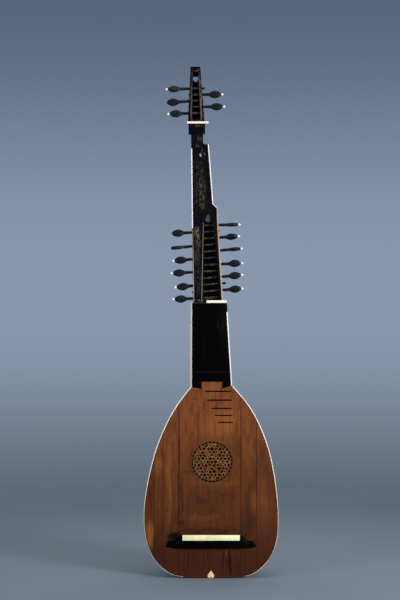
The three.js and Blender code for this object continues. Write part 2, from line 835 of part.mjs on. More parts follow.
function addExtensionEdging() {
  const bassPoints = [bassEdgingStart, bassEdgingEnd].map((height) => [
    bassEdge(height) + edgingWidth,
    height,
  ]);
  addPiece('extension_edging_bass', sideStrip(bassPoints, -1, edgingWidth), colours.ivory, 0.4);
  const aboveShoulder = trebleEdgePoints
    .filter(([, height]) => height >= shoulderLow)
    .map(([x, height]) => [x + seatGap, height]);
  addPiece(
    'extension_edging_treble',
    sideStrip(aboveShoulder, 1, edgingWidth),
    colours.ivory,
    0.4,
  );
  const belowShoulder = [
    lowerNutHeight + 2 * seatGap,
    boxTaperHeight,
    shoulderLow - seatGap,
  ].map((height) => [trebleEdge(height) + seatGap, height]);
  addPiece(
    'pegbox_edging_treble',
    sideStrip(belowShoulder, 1, boneEdgingWidth),
    colours.bone,
    0.5,
  );
}

function addNuts() {
  addPiece('lower_nut', boxBetween(
    [lowerNutBass, -lowerNutDepth, neckTop + seatGap],
    [lowerNutTreble, -seatGap, neckTop + seatGap + lowerNutHeight],
  ), colours.ivory, 0.35);
  addPiece('upper_nut', boxBetween(
    [headMiddle - upperNutBass, -upperNutDepth - seatGap, collarTop + seatGap],
    [headMiddle + upperNutTreble, -seatGap, collarTop + seatGap + upperNutHeight],
  ), colours.ivory, 0.35);
}

// The collar: a stack of flat bands and sunk grooves round the foot of the upper pegbox
function addCollar() {
  const levels = [[0, 0]];
  for (const [start, end] of collarGrooveShares) {
    levels.push([start, 0], [start + grooveEdgeShare, grooveDepth]);
    levels.push([end, grooveDepth], [end + grooveEdgeShare, 0]);
  }
  levels.push([1, 0]);
  const foot = collarFoot + seatGap;
  const rings = levels.map(([share, sunk]) => boxRing(
    THREE.MathUtils.lerp(foot, collarTop, share),
    headMiddle - collarWidth / 2 + sunk,
    headMiddle + collarWidth / 2 - sunk,
    sunk - collarFront,
    upperBoxFootDepth + collarBack - sunk,
  ));
  addPiece('collar', loft(rings), colours.stained, 0.45);
}

// The upper pegbox with its channel, its peg holes and the heart-shaped hanging hole
function addUpperPegbox() {
  const ringAt = (height, rise) => {
    const [bass, treble] = upperBoxEdges(height);
    const back = upperBoxDepth(height);
    return beamRing(collarTop + height + rise, bass, treble, 0, back, backChamfer / 2);
  };
  const box = loft([ringAt(0, seatGap), ringAt(upperBoxLength, 0)]);
  const channelRing = (height, cheek) => {
    const [bass, treble] = upperBoxEdges(height);
    const back = upperBoxDepth(height) - upperFloor;
    return boxRing(collarTop + height, bass + cheek, treble - cheek, -overrun, back);
  };
  const channel = loft([
    channelRing(upperChannelFoot, upperCheekFoot),
    channelRing(upperChannelTop, upperCheekTop),
  ]);
  const cut = upperPegs.reduce(
    (solid, place) => solid.subtract(pegHole(place)),
    solidOf(box).subtract(solidOf(channel)),
  );
  addPiece('upper_pegbox', geometryOf(cut.subtract(solidOf(hangHole()))), colours.stained, 0.45);
}

const hangHoleTop = instrumentTop - hangHoleDrop + hangHoleHeight;
const hangHoleMiddle = hangHoleTop - hangHoleHeight / 2;
const hangHoleEdges = upperBoxEdges(hangHoleMiddle - collarTop);
const hangHoleX = (hangHoleEdges[0] + hangHoleEdges[1]) / 2;

function hangHole() {
  const points = heartOutline(
    hangHoleShares, hangHoleWidth, -hangHoleHeight, hangHoleX, hangHoleTop,
  );
  return plate(points, overrun, upperBoxFootDepth + overrun);
}

// A peg about its own axis, +Z outwards from the cheek, its flat head spread along Y
function pegGeometry(place) {
  const headMiddle = place.out * headReach;
  const headStart = headMiddle - headLength / 2;
  const headEnd = headMiddle + headLength / 2;
  const tip = -place.span - place.tip * tipReach;
  const round = (at, radius) => [at, radius, radius];
  const stations = [
    round(tip, tipRadius),
    round(0, shankRadius),
    round(headStart / 2, neckRadius),
    round(headStart - neckRadius, neckRadius),
  ];
  for (let i = 1; i < headSteps; i++) {
    const swell = Math.sin(Math.PI * i / headSteps) ** headFullness;
    stations.push([
      THREE.MathUtils.lerp(headStart, headEnd, i / headSteps),
      THREE.MathUtils.lerp(neckRadius, headHalfWidth, swell),
      THREE.MathUtils.lerp(neckRadius, headHalfDepth, swell),
    ]);
  }
  stations.push(round(headEnd, place.pip ? pipRadius / 2 : tipRadius / 2));
  if (place.pip) {
    stations.push(round(headEnd + pipLength / 2, pipRadius));
    stations.push(round(headEnd + pipLength, pipRadius / 2));
  }
  const rings = stations.map(([at, width, depth]) => Array.from({ length: pegSides }, (_, i) => {
    const angle = 2 * Math.PI * i / pegSides;
    return new THREE.Vector3(depth * Math.cos(angle), width * Math.sin(angle), at);
  }));
  return loft(rings);
}

// Adds the pegs of one pegbox, numbered from its top on each side
function addPegs(places, boxName) {
  const counts = { '-1': 0, 1: 0 };
  for (const place of places) {
    counts[place.side] += 1;
    const sideName = place.side > 0 ? 'treble' : 'bass';
    const peg = addPiece(
      `peg_${boxName}_${sideName}_${counts[place.side]}`,
      pegGeometry(place),
      colours.ebony,
      0.35,
    );
    const along = place.axis;
    const depthWays = new THREE.Vector3(0, 1, 0);
    const widthWays = new THREE.Vector3().crossVectors(along, depthWays);
    peg.quaternion.setFromRotationMatrix(
      new THREE.Matrix4().makeBasis(depthWays, widthWays, along),
    );
    peg.rotateZ(THREE.MathUtils.degToRad(place.turn));
    peg.position.copy(place.point);
  }
}

addBowl();
addInnerPieces();
addSoundboard();
addBinding('binding_treble', 1, bindingEndTreble);
addBinding('binding_bass', -1, bindingEndBass);
addFrets();
addBridge();
addNeck();
addFingerboard();
addExtension();
addExtensionEdging();
addNuts();
addCollar();
addUpperPegbox();
addPegs(lowerPegs, 'lower');
addPegs(upperPegs, 'upper');

// The origin is the middle of the hanging hole on the back of the upper pegbox
const hangHoleDepth = upperBoxDepth(hangHoleMiddle - collarTop);
instrument.position.set(-hangHoleX, -hangHoleDepth, -hangHoleMiddle);

export default theorbo;
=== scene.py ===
"""Looks of a theorbo: finishes, fine woodwork, a carved rose and turned pegs round its CAD frame.

Metres, +Z up along the strings. The soundboard faces -Y and the bass side is at -X.
"""

import json
import logging
import math
from bisect import bisect_left
from collections.abc import Callable, Iterable, Sequence
from dataclasses import dataclass, replace
from enum import Enum
from functools import cache

import bmesh
import bpy
from bmesh.types import BMesh, BMVert
from bpy.types import ID, Material, Mesh, Node, NodeSocket, NodeTree, Object, World
from mathutils import Matrix, Vector


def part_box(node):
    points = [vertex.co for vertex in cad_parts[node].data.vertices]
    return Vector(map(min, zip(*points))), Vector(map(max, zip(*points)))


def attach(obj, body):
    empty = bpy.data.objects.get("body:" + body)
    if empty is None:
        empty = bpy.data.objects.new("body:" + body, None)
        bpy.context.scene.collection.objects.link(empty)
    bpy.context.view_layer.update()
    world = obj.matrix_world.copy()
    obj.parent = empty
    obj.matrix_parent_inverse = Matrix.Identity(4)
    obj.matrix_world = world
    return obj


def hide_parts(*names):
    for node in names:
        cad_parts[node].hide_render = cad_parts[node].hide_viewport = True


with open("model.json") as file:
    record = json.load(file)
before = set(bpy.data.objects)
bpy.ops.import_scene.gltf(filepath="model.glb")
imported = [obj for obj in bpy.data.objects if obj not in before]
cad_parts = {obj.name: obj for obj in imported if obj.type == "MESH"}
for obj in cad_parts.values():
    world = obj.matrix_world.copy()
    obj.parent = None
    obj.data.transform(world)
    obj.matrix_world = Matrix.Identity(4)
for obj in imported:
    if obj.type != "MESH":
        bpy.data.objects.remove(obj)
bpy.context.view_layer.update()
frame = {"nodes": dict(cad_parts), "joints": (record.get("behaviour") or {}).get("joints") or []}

LOG = logging.getLogger("theorbo")
MM = 0.001

# Points closer than the first are one point, and those closer than the second lie on one face
MERGE = 0.01 * MM
NEAR = 10 * MERGE

# Faces that meet at less than the first angle are one flat face. A shape's edges are arrises, and
# can be rounded, from the second angle on, and are shaded as sharp from the third.
FLAT = math.radians(1)
ARRIS = math.radians(30)
CREASE = math.radians(35)

# Fixed places of the instrument, read from the frame. The heart sits a little to the bass side
# of the centre line.
BOARD_LOW, BOARD_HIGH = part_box("soundboard")
FRONT = BOARD_LOW.y
BOARD_BACK = BOARD_HIGH.y
TAIL = BOARD_LOW.z
HEART_LEAN = 1.3 * MM
CENTRE = sum(corner.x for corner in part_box("heart_inlay")) / 2 + HEART_LEAN
NECK_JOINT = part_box("neck_block")[1].z


class Side(Enum):
    """The two long sides of the instrument, as the names of its pieces call them."""

    BASS = "bass"
    TREBLE = "treble"


class Along(Enum):
    """The way that the grain of a piece runs, as stretched features of its pattern."""

    STRINGS = (1, 1, 24)
    FLECKS = (1, 1, 4)
    ACROSS = (24, 1, 1)
    EVEN = (1, 1, 1)


def linear(colour: str) -> tuple[float, float, float, float]:
    """Turns an sRGB hex colour into the linear values that a shader takes.

    Args:
        colour: a hash sign and six hex digits.

    Returns:
        Linear red, green, blue and a full alpha.
    """
    shares = [int(colour[i:i + 2], 16) / 255 for i in (1, 3, 5)]
    bright = [s / 12.92 if s <= 0.04045 else ((s + 0.055) / 1.055) ** 2.4 for s in shares]
    return (*bright, 1.0)


def empty_tree(owner: Material | World) -> NodeTree:
    """Empties the node tree of a material or of the world.

    Args:
        owner: the material or the world.

    Returns:
        Its node tree.
    """
    owner.use_nodes = True
    owner.node_tree.nodes.clear()
    return owner.node_tree


def add_object(name: str, data: ID) -> Object:
    """Adds an object to the scene.

    Args:
        name: its name.
        data: its mesh, lamp or camera.

    Returns:
        The object.
    """
    added = bpy.data.objects.new(name, data)
    bpy.context.scene.collection.objects.link(added)
    return added


def add_node(
    tree: NodeTree, kind: str, inputs: dict[str | int, object] | None = None, **settings: object
) -> Node:
    """Adds one shader node with its settings, values and links.

    Args:
        tree: the node tree of a material or of the world.
        kind: Blender's name for the kind of node, without its ShaderNode prefix.
        inputs: for each input socket, its value or the output socket that feeds it.
        settings: the node's own properties.

    Returns:
        The new node.
    """
    node = tree.nodes.new("ShaderNode" + kind)
    for name, value in settings.items():
        setattr(node, name, value)
    for key, value in (inputs or {}).items():
        if isinstance(value, NodeSocket):
            tree.links.new(value, node.inputs[key])
        else:
            node.inputs[key].default_value = value
    return node


# A socket or linear values, which both give a colour
Colour = NodeSocket | tuple[float, ...]


def layered(tree: NodeTree, colour: Colour, layers: Iterable[tuple[NodeSocket, str]]) -> Colour:
    """Lays tones over a colour, one after the other.

    Args:
        tree: the node tree.
        colour: the colour under them.
        layers: for each tone, how far it covers, from 0 to 1, and its hex colour.

    Returns:
        The colour that shows.
    """
    factor, under, over, mixed = 0, 6, 7, 2
    for cover, tone in layers:
        colour = add_node(tree, "Mix", {
            factor: cover, under: colour, over: linear(tone),
        }, data_type="RGBA").outputs[mixed]
    return colour


# Share of a mark's size within which it has its full strength
MARK_CORE = 0.25


@dataclass(frozen=True)
class Mark:
    """An oval mark of dirt, wear, light wood, painted shadow or painted highlight on a front,
    which fades behind it.

    Attributes:
        x: its middle from the centre line, in millimetres, to the treble side.
        z: its middle above the tail, in millimetres.
        half_width: half its size across, in millimetres.
        half_height: half its size along the strings, in millimetres.
        strength: how strongly it shows, from 0 to 1.
        tone: its colour where it isn't that of its kind.
        reach: how far behind the front it still shows, in millimetres.
    """

    x: float
    z: float
    half_width: float
    half_height: float
    strength: float
    tone: str = ""
    reach: float = 16.0

    def mask(self, tree: NodeTree, place: NodeSocket) -> NodeSocket:
        """Gives the mark's strength at each point of the surface.

        Args:
            tree: the material's node tree.
            place: the object's coordinates in metres.

        Returns:
            A socket that is the strength in the middle and 0 at the oval's edge.
        """
        sizes = (self.half_width, self.reach, self.half_height)
        scale = tuple(1 / (size * MM) for size in sizes)
        middle = (CENTRE + self.x * MM, FRONT, TAIL + self.z * MM)
        shift = tuple(-m * s for m, s in zip(middle, scale))
        oval = add_node(tree, "Mapping", {"Vector": place, "Location": shift, "Scale": scale})
        radius = add_node(tree, "VectorMath", {0: oval.outputs[0]}, operation="LENGTH")
        return add_node(tree, "MapRange", {
            "Value": radius.outputs["Value"], "From Min": 1.0, "From Max": MARK_CORE,
            "To Min": 0.0, "To Max": self.strength,
        }, interpolation_type="SMOOTHSTEP").outputs[0]


@dataclass(frozen=True)
class Figure:
    """A soft random pattern with features of a real size, such as grain or stain.

    Attributes:
        size: the features' size across the grain, in millimetres.
        along: the way that the features are stretched.
        low: noise value that counts as none of the figure.
        high: noise value that counts as all of it.
        detail: octaves of finer noise.
        shift: moves the pattern, so that two figures of one size differ.
    """

    size: float
    along: Along = Along.STRINGS
    low: float = 0.35
    high: float = 0.65
    detail: float = 3.0
    shift: float = 0.0

    def mask(self, tree: NodeTree, place: NodeSocket) -> NodeSocket:
        """Gives the figure's amount at each point of the surface.

        Args:
            tree: the material's node tree.
            place: coordinates in metres.

        Returns:
            A socket from 0 to 1.
        """
        scale = tuple(1 / (self.size * MM * way) for way in self.along.value)
        middle = (-CENTRE * scale[0] + self.shift, self.shift, -TAIL * scale[2])
        mapping = add_node(tree, "Mapping", {"Vector": place, "Location": middle, "Scale": scale})
        noise = add_node(tree, "TexNoise", {
            "Vector": mapping.outputs[0], "Scale": 1.0, "Detail": self.detail, "Roughness": 0.55,
        })
        return add_node(tree, "MapRange", {
            "Value": noise.outputs[0], "From Min": self.low, "From Max": self.high,
        }, interpolation_type="SMOOTHSTEP").outputs[0]


@dataclass(frozen=True)
class Finish:
    """A real material with its surface: the colours, the figure and the gloss.

    Attributes:
        label: the material's name.
        slot: the record's material slot that it stands for; not used.
        base: main colour.
        dark: colour of the darker figure.
        grain: the fine figure, which also gives the relief.
        cloud: the broad figure.
        contrast: how strongly the fine figure shows, from 0 to 1.
        clouding: how strongly the broad figure shows.
        roughness: the smoother areas' roughness.
        rough_spread: how much rougher the fine figure is.
        specular: specular level, 0.5 for a clean surface of the usual index.
        coat: weight of a clear coat of varnish or oil.
        relief: depth of the fine figure in millimetres.
        subsurface: how much light passes under the surface.
        dirt: dark marks.
        dirt_and_shade_colour: their colour, which some finishes also paint as shade down in
            hollows.
        wear: marks where the surface is worn, and on the bridge painted highlights.
        wear_and_highlight_colour: the colour that the wear and those highlights show.
        seams: marks with straight, sharp edges, such as joints.
        seam_and_sheen_colour: their colour, which on the fingerboard's joints is painted sheen.
        bend: how far the other marks' edges wander, in millimetres.
        broken: how strongly a figure breaks up the marks, from 0 to 1.
        breaks: that figure, if it isn't the fine one.
    """

    label: str
    slot: str
    base: str
    dark: str
    grain: Figure
    cloud: Figure
    contrast: float = 0.5
    clouding: float = 0.5
    roughness: float = 0.45
    rough_spread: float = 0.15
    specular: float = 0.5
    coat: float = 0.0
    relief: float = 0.05
    subsurface: float = 0.0
    dirt: tuple[Mark, ...] = ()
    dirt_and_shade_colour: str = "#1c0f0a"
    wear: tuple[Mark, ...] = ()
    wear_and_highlight_colour: str = "#8a5a34"
    seams: tuple[Mark, ...] = ()
    seam_and_sheen_colour: str = "#2c120b"
    bend: float = 3.0
    broken: float = 0.4
    breaks: Figure | None = None

    def place(self, tree: NodeTree) -> NodeSocket:
        """Gives the coordinates that the pattern follows."""
        return add_node(tree, "TexCoord").outputs["Object"]

    def colour(self, tree: NodeTree, place: NodeSocket, grain: NodeSocket) -> Colour:
        """Lays the figures and the marks over the ground.

        Args:
            tree: the material's node tree.
            place: coordinates in metres.
            grain: the fine figure's amount.

        Returns:
            The colour of the surface.
        """
        amounts = [(self.cloud.mask(tree, place), self.clouding, self.dark),
                   (grain, self.contrast, self.dark)]
        if self.wear + self.dirt + self.seams:
            bent = self.bent(tree, place)
            patchy = add_node(tree, "MapRange", {
                "Value": self.breaks.mask(tree, place) if self.breaks else grain,
                "To Min": 1.0, "To Max": 1.0 - self.broken,
            }).outputs[0]
            for marks, where, tone in (
                (self.wear, bent, self.wear_and_highlight_colour), (self.dirt, bent, self.dirt_and_shade_colour),
                (self.seams, place, self.seam_and_sheen_colour),
            ):
                amounts += [(mark.mask(tree, where), patchy, mark.tone or tone) for mark in marks]
        return layered(tree, self.ground(tree, place), (
            (add_node(tree, "Math", {0: mask, 1: share}, operation="MULTIPLY").outputs[0], tone)
            for mask, share, tone in amounts))

    def bent(self, tree: NodeTree, place: NodeSocket) -> NodeSocket:
        """Bends coordinates by a soft noise, so that a mark's edge wanders.

        The noise keeps within a quarter of its range, and its features are twice as large.

        Args:
            tree: the material's node tree.
            place: coordinates in metres.

        Returns:
            The bent coordinates.
        """
        span = 4 * self.bend * MM
        noise = add_node(tree, "TexNoise", {"Vector": place, "Scale": 0.5 / span, "Detail": 4.0})
        way = add_node(tree, "VectorMath", {
            0: noise.outputs[1], 1: (-0.5, -0.5, -0.5),
        }, operation="ADD")
        return add_node(tree, "VectorMath", {
            0: way.outputs[0], 1: (span, 0.0, 2 * span), 2: place,
        }, operation="MULTIPLY_ADD").outputs[0]

    def ground(self, tree: NodeTree, place: NodeSocket) -> Colour:
        """Gives the colour under the figures."""
        return linear(self.base)

    def make(self) -> Material:
        """Builds the finish as a material.

        Returns:
            A node material that reads the piece's own coordinates.
        """
        material = bpy.data.materials.new(self.label)
        tree = empty_tree(material)
        place = self.place(tree)
        grain = self.grain.mask(tree, place)
        roughness = add_node(tree, "MapRange", {
            "Value": grain, "To Min": self.roughness, "To Max": self.roughness + self.rough_spread,
        })
        bump = add_node(tree, "Bump", {
            "Height": grain, "Strength": 0.6, "Distance": self.relief * MM,
        }, invert=True)
        shader = add_node(tree, "BsdfPrincipled", {
            "Base Color": self.colour(tree, place, grain),
            "Roughness": roughness.outputs[0],
            "Normal": bump.outputs[0],
            "Specular IOR Level": self.specular,
            "Coat Weight": self.coat,
            "Coat Roughness": 0.3,
            "Subsurface Weight": self.subsurface,
            "Subsurface Scale": 2 * MM,
        })
        add_node(tree, "OutputMaterial", {"Surface": shader.outputs[0]})
        return material


@dataclass(frozen=True)
class AgedSpruce(Finish):
    """Quarter-sawn spruce under old oil varnish, darker towards the tail.

    Attributes:
        middle: colour at the height of the rose.
        low: colour at the tail.
        top_height: height above the tail of the top colour, in millimetres.
        middle_height: height of the middle colour.
        low_height: height of the low colour.
        flecks: small dark flecks of dirt in the pores.
        flecking: how strongly they show.
    """

    middle: str = "#603316"
    low: str = "#451f0d"
    top_height: float = 440.0
    middle_height: float = 215.0
    low_height: float = 40.0
    flecks: Figure = Figure(
        size=3.0, along=Along.EVEN, low=0.44, high=0.66, detail=6, shift=8.3)
    flecking: float = 0.36

    def ground(self, tree: NodeTree, place: NodeSocket) -> Colour:
        """Fades from the low colour through the middle one to the base colour, with flecks.

        Args:
            tree: the material's node tree.
            place: coordinates in metres.

        Returns:
            The colour under the figures.
        """
        height = add_node(tree, "SeparateXYZ", {0: place}).outputs["Z"]
        layers = []
        for start, end, tone in (
            (self.low_height, self.middle_height, self.middle),
            (self.middle_height, self.top_height, self.base),
        ):
            rise = add_node(tree, "MapRange", {
                "Value": height, "From Min": TAIL + start * MM, "From Max": TAIL + end * MM,
            }, interpolation_type="SMOOTHSTEP")
            layers.append((rise.outputs[0], tone))
        flecks = add_node(tree, "Math", {
            0: self.flecks.mask(tree, place), 1: self.flecking,
        }, operation="MULTIPLY")
        layers.append((flecks.outputs[0], self.dark))
        return layered(tree, linear(self.low), layers)


@dataclass(frozen=True)
class StainedPear(Finish):
    """Black-stained pearwood, with painted shade down in its channels."""

    def colour(self, tree: NodeTree, place: NodeSocket, grain: NodeSocket) -> Colour:
        """Paints shade where the piece's own attribute says that it lies down in a channel."""
        sunk = add_node(tree, "Attribute", attribute_name="sunk").outputs["Fac"]
        return layered(tree, super().colour(tree, place, grain), [(sunk, self.dirt_and_shade_colour)])


@dataclass(frozen=True)
class CarvedSpruce(Finish):
    """The strands of the rose: dusty end grain on top, and painted shade down in the cuts.

    Attributes:
        unshaded_depth: depth under the front down to which they get no painted shade, in
            millimetres.
        dark_depth: depth from which the painted shade makes them fully dark.
    """

    unshaded_depth: float = 0.3
    dark_depth: float = 1.5

    def ground(self, tree: NodeTree, place: NodeSocket) -> Colour:
        """Paints shade from the top of the strands down into the cuts.

        Args:
            tree: the material's node tree.
            place: coordinates in metres.

        Returns:
            The colour under the figures.
        """
        depth = add_node(tree, "SeparateXYZ", {0: place}).outputs["Y"]
        sunk = add_node(tree, "MapRange", {
            "Value": depth, "From Min": FRONT + self.unshaded_depth * MM,
            "From Max": FRONT + self.dark_depth * MM,
        })
        return layered(tree, linear(self.base), [(sunk.outputs[0], self.dirt_and_shade_colour)])


@dataclass(frozen=True)
class RibWood(Finish):
    """Figured wood bent over a mould: the grain follows each rib from tail to neck."""

    def place(self, tree: NodeTree) -> NodeSocket:
        """Reads the rib's own map, whose V runs along the grain.

        Args:
            tree: the material's node tree.

        Returns:
            The map in metres, turned so that V becomes the way of the strings.
        """
        chart = add_node(tree, "UVMap", uv_map="grain").outputs[0]
        return add_node(tree, "Mapping", {
            "Vector": chart, "Rotation": (math.pi / 2, 0.0, 0.0),
        }).outputs[0]


@dataclass(frozen=True)
class PegWood(Finish):
    """Black-stained pearwood, bare and paler where the strings rub it inside the pegbox.

    Attributes:
        bare: colour of the bare wood.
    """

    bare: str = "#50483d"

    def ground(self, tree: NodeTree, place: NodeSocket) -> Colour:
        """Shows the bare wood where the peg's own attribute says so."""
        rubbed = add_node(tree, "Attribute", attribute_name="rubbed").outputs["Fac"]
        return layered(tree, linear(self.base), [(rubbed, self.bare)])


# Spruce grain is about 1 mm wide, under half a pixel here, so it is drawn 2.4 mm wide to show
SPRUCE_GRAIN = Figure(size=2.4, low=0.38, high=0.66, detail=4)

# Joints between the boards of the soundboard: distance from the centre line and strength
BOARD_JOINTS = (
    (-151.5, 0.8), (-127.8, 0.7), (-86.0, 1.0), (-35.4, 0.45), (78.1, 0.9), (119.0, 0.75),
    (-8.0, 0.25), (48.0, 0.3),
)

# Old varnish gives spruce a warm, slightly glossy brown with dark joints and hand dirt, and
# painted shadow beside the bridge's carved ends
SOUNDBOARD = AgedSpruce(
    label="aged spruce", slot="soundboard", base="#7b4421", dark="#32160a", grain=SPRUCE_GRAIN,
    cloud=Figure(size=11, low=0.42, high=0.72, detail=4, shift=3.7, along=Along.FLECKS),
    contrast=0.24, clouding=0.45, roughness=0.42, rough_spread=0.1, specular=0.12, relief=0.04,
    wear=(
        Mark(-163, 112, 14, 56, 0.6), Mark(4, 500, 24, 30, 0.35), Mark(42, 62, 3, 14, 0.2),
        Mark(-112, 250, 12, 150, 0.3), Mark(20, 405, 60, 50, 0.3), Mark(138, 210, 14, 100, 0.2),
        Mark(-39, 500.5, 12, 1.6, 0.7), Mark(40, 420, 30, 60, 0.25), Mark(-20, 160, 60, 12, 0.15),
        Mark(10, 250, 80, 14, 0.2), Mark(110, 200, 20, 40, 0.3), Mark(-140, 300, 20, 40, 0.35),
    ),
    wear_and_highlight_colour="#9c6030",
    dirt=(
        # Painted shadow: the near-black marks with their own tones at heights 105 to 112, beside
        # the bridge's carved ends, stand in for the shadow that the bridge casts
        Mark(-78, 210, 8, 90, 0.6), Mark(-105, 107, 21, 18, 1.0, "#120906"),
        Mark(-90, 112, 15, 12, 1.0, "#0d0806"), Mark(87, 109, 11, 9, 0.8, "#0d0806"),
        Mark(-99, 107, 21, 15, 1.0, "#070505"), Mark(-95, 105, 22, 15, 1.0, "#050404"),
        Mark(46.5, 38, 3, 42, 1.0, "#0a0503"), Mark(41, 38, 7, 9, 0.8, "#150a06"),
        Mark(0, 126, 100, 11, 0.6), Mark(98, 160, 26, 110, 0.6),
        Mark(50, 40, 4.5, 52, 1.0, "#160a06"), Mark(30, 45, 3.5, 44, 0.9),
        Mark(-45, 475, 10, 7, 0.5), Mark(58.6, 474.4, 2.6, 2.6, 1.0), Mark(0, 305, 72, 76, 0.6),
        Mark(-60, 40, 5, 50, 0.4), Mark(-26, 497, 1.8, 9, 0.9), Mark(-160, 250, 9, 120, 0.4),
        Mark(168, 260, 10, 120, 0.4), Mark(140, 300, 30, 80, 0.3), Mark(-84, 150, 14, 10, 0.6),
        Mark(0, 200, 60, 60, 0.25), Mark(-140, 60, 30, 60, 0.3), Mark(70, 30, 6, 40, 0.5),
        Mark(39, 30, 2.6, 34, 0.8), Mark(-8, 50, 2.4, 44, 0.6), Mark(-120, 60, 4, 60, 0.4),
        Mark(-52, 320, 12, 50, 0.5), Mark(-84, 330, 6, 90, 0.4), Mark(68, 350, 20, 60, 0.35),
        Mark(-20, 200, 30, 9, 0.4), Mark(30, 220, 40, 8, 0.35), Mark(-60, 280, 30, 10, 0.4),
        Mark(12, 480, 3, 20, 0.4), Mark(26.5, 500, 1.6, 18, 0.7), Mark(-100, 400, 9, 30, 0.3),
    ),
    seams=(
        *(Mark(x, 235, 2.4, 470, strength) for x, strength in BOARD_JOINTS),
        *(Mark(x, 40, 2.2, 70, 0.6) for x in (-72, -60, -51, -20, -2, 64, 88)),
        *(Mark(x, 190, 2, 90, 0.35) for x in (-104, -60, -22, 12, 32, 56, 100, 140)),
    ),
    seam_and_sheen_colour="#260a04", bend=4, broken=0.5,
)

# Knife-cut spruce holds dust on its top faces; painted shade makes it almost black down in the
# cuts
ROSE_WOOD = CarvedSpruce(
    label="carved spruce", slot="soundboard", base="#9c673a", dark="#2e190d",
    grain=Figure(size=1.6, detail=3), cloud=Figure(size=12, along=Along.EVEN, shift=1.3),
    contrast=0.3, clouding=0.6, roughness=0.6, specular=0.2, dirt_and_shade_colour="#0e0805",
)

# Unvarnished spruce inside the bowl: pale straw gone grey-brown with age
BARE_SPRUCE = Finish(
    label="bare spruce", slot="bare_spruce", base="#a5825a", dark="#7b5a38",
    grain=replace(SPRUCE_GRAIN, along=Along.ACROSS), cloud=Figure(size=20, shift=2.2),
    contrast=0.4, clouding=0.3, roughness=0.75, specular=0.3,
)

# Dark heartwood ribs, planed and varnished: reddish brown stripes that run with the rib
RIB_WOOD = RibWood(
    label="heartwood ribs", slot="bowl_wood", base="#6b3a20", dark="#2b130a",
    grain=Figure(size=1.8, detail=4, low=0.36, high=0.68),
    cloud=Figure(size=9, detail=3, low=0.4, high=0.68, shift=4.1),
    contrast=0.5, clouding=0.7, roughness=0.38, rough_spread=0.12, specular=0.2, coat=0.12,
    relief=0.03,
)

# The end clasp is of the same wood, cut across, and shows a broader figure
CLASP_WOOD = Finish(
    label="heartwood clasp", slot="bowl_wood", base="#5f321c", dark="#260f08",
    grain=Figure(size=2.2, along=Along.ACROSS, detail=4),
    cloud=Figure(size=12, along=Along.ACROSS, shift=1.9),
    contrast=0.5, clouding=0.7, roughness=0.38, specular=0.2, coat=0.12, relief=0.03,
)

# Oiled ebony drinks light: nearly black, fine brown streaks and a tight low sheen
EBONY = Finish(
    label="oiled ebony", slot="ebony", base="#020203", dark="#080606",
    grain=Figure(size=1.4, detail=4, low=0.45, high=0.75), cloud=Figure(size=10, shift=5.2),
    contrast=0.5, clouding=0.4, roughness=0.34, rough_spread=0.14, specular=0.03, relief=0.02,
)

# The bridge's carved ends get painted highlights: grey marks along their upper edges
BRIDGE_EBONY = replace(
    EBONY, label="carved ebony", roughness=0.46, wear=tuple(
        Mark(x, z, 3.2, 2.6, 0.7, reach=60) for x, z in (
            (-101, 113), (-94, 117), (-87, 121), (82, 124), (90, 120), (97, 115), (105, 110),
        )
    ), wear_and_highlight_colour="#7d7f88", broken=0.3, bend=1,
)

# The fingerboard also shows its scratches and the joints of its veneer, whose pale bluish lines
# are painted sheen
FINGERBOARD_EBONY = replace(
    EBONY, label="scratched ebony", seam_and_sheen_colour="#34343c",
    seams=(
        Mark(0, 544, 70, 0.9, 0.5), Mark(2, 518, 62, 0.9, 0.5), Mark(17, 668, 0.7, 30, 0.5),
        Mark(29, 664, 0.7, 26, 0.4), Mark(24, 650, 0.7, 22, 0.4), Mark(-20, 600, 0.7, 40, 0.25),
    ),
)

# The glued frets are ebony too, rubbed brown by handling
FRET_WOOD = replace(
    EBONY, label="rubbed ebony", slot="fret_wood", base="#020202", dark="#0a0605",
    roughness=0.36, specular=0.04,
)

# Iron-stained pearwood, worn through to brown where hands and strings pass; its channel gets
# painted shade
STAINED_WOOD = StainedPear(
    label="stained pearwood", slot="stained_wood", base="#050509", dark="#141110",
    grain=Figure(size=2.2, along=Along.FLECKS, detail=6, low=0.4, high=0.6),
    cloud=Figure(size=5, along=Along.FLECKS, detail=5, low=0.5, high=0.7, shift=2.9),
    contrast=0.2, clouding=0.5, roughness=0.38, rough_spread=0.2, specular=0.06, relief=0.05,
    wear=(
        Mark(-38, 912, 11, 22, 0.8), Mark(-34, 888, 12, 22, 0.5), Mark(-38, 850, 12, 40, 0.2),
        Mark(-26, 1035, 14, 36, 0.4), Mark(-24, 995, 14, 30, 0.3), Mark(-28, 1080, 14, 30, 0.15),
        Mark(-24, 1127, 2.4, 9, 1.0, "#a19d9b"), Mark(-36, 1143, 8, 8, 0.6),
        Mark(-29, 1116, 5, 3, 0.9, "#9a9694"), Mark(-17, 1119, 6, 6, 0.35, "#77767e"),
        Mark(-38, 1196, 26, 4, 0.4), Mark(-34, 790, 12, 60, 0.15), Mark(-30, 733.5, 16, 2, 0.7),
        Mark(-40, 1040, 8, 100, 0.12), Mark(-10, 950, 7, 10, 0.6, "#8e8a88"),
        Mark(-30, 1160, 10, 12, 0.4, "#77767e"),
    ),
    wear_and_highlight_colour="#7a6a58",
    dirt=(Mark(-30, 870, 8, 12, 0.4), Mark(-30, 1085, 8, 22, 0.5)), dirt_and_shade_colour="#060405",
    seams=(Mark(-48, 1030, 1.6, 110, 0.8),), seam_and_sheen_colour="#4a2618", bend=2, broken=1.0,
    breaks=Figure(size=2.6, along=Along.FLECKS, detail=6, low=0.4, high=0.56, shift=6.1),
)

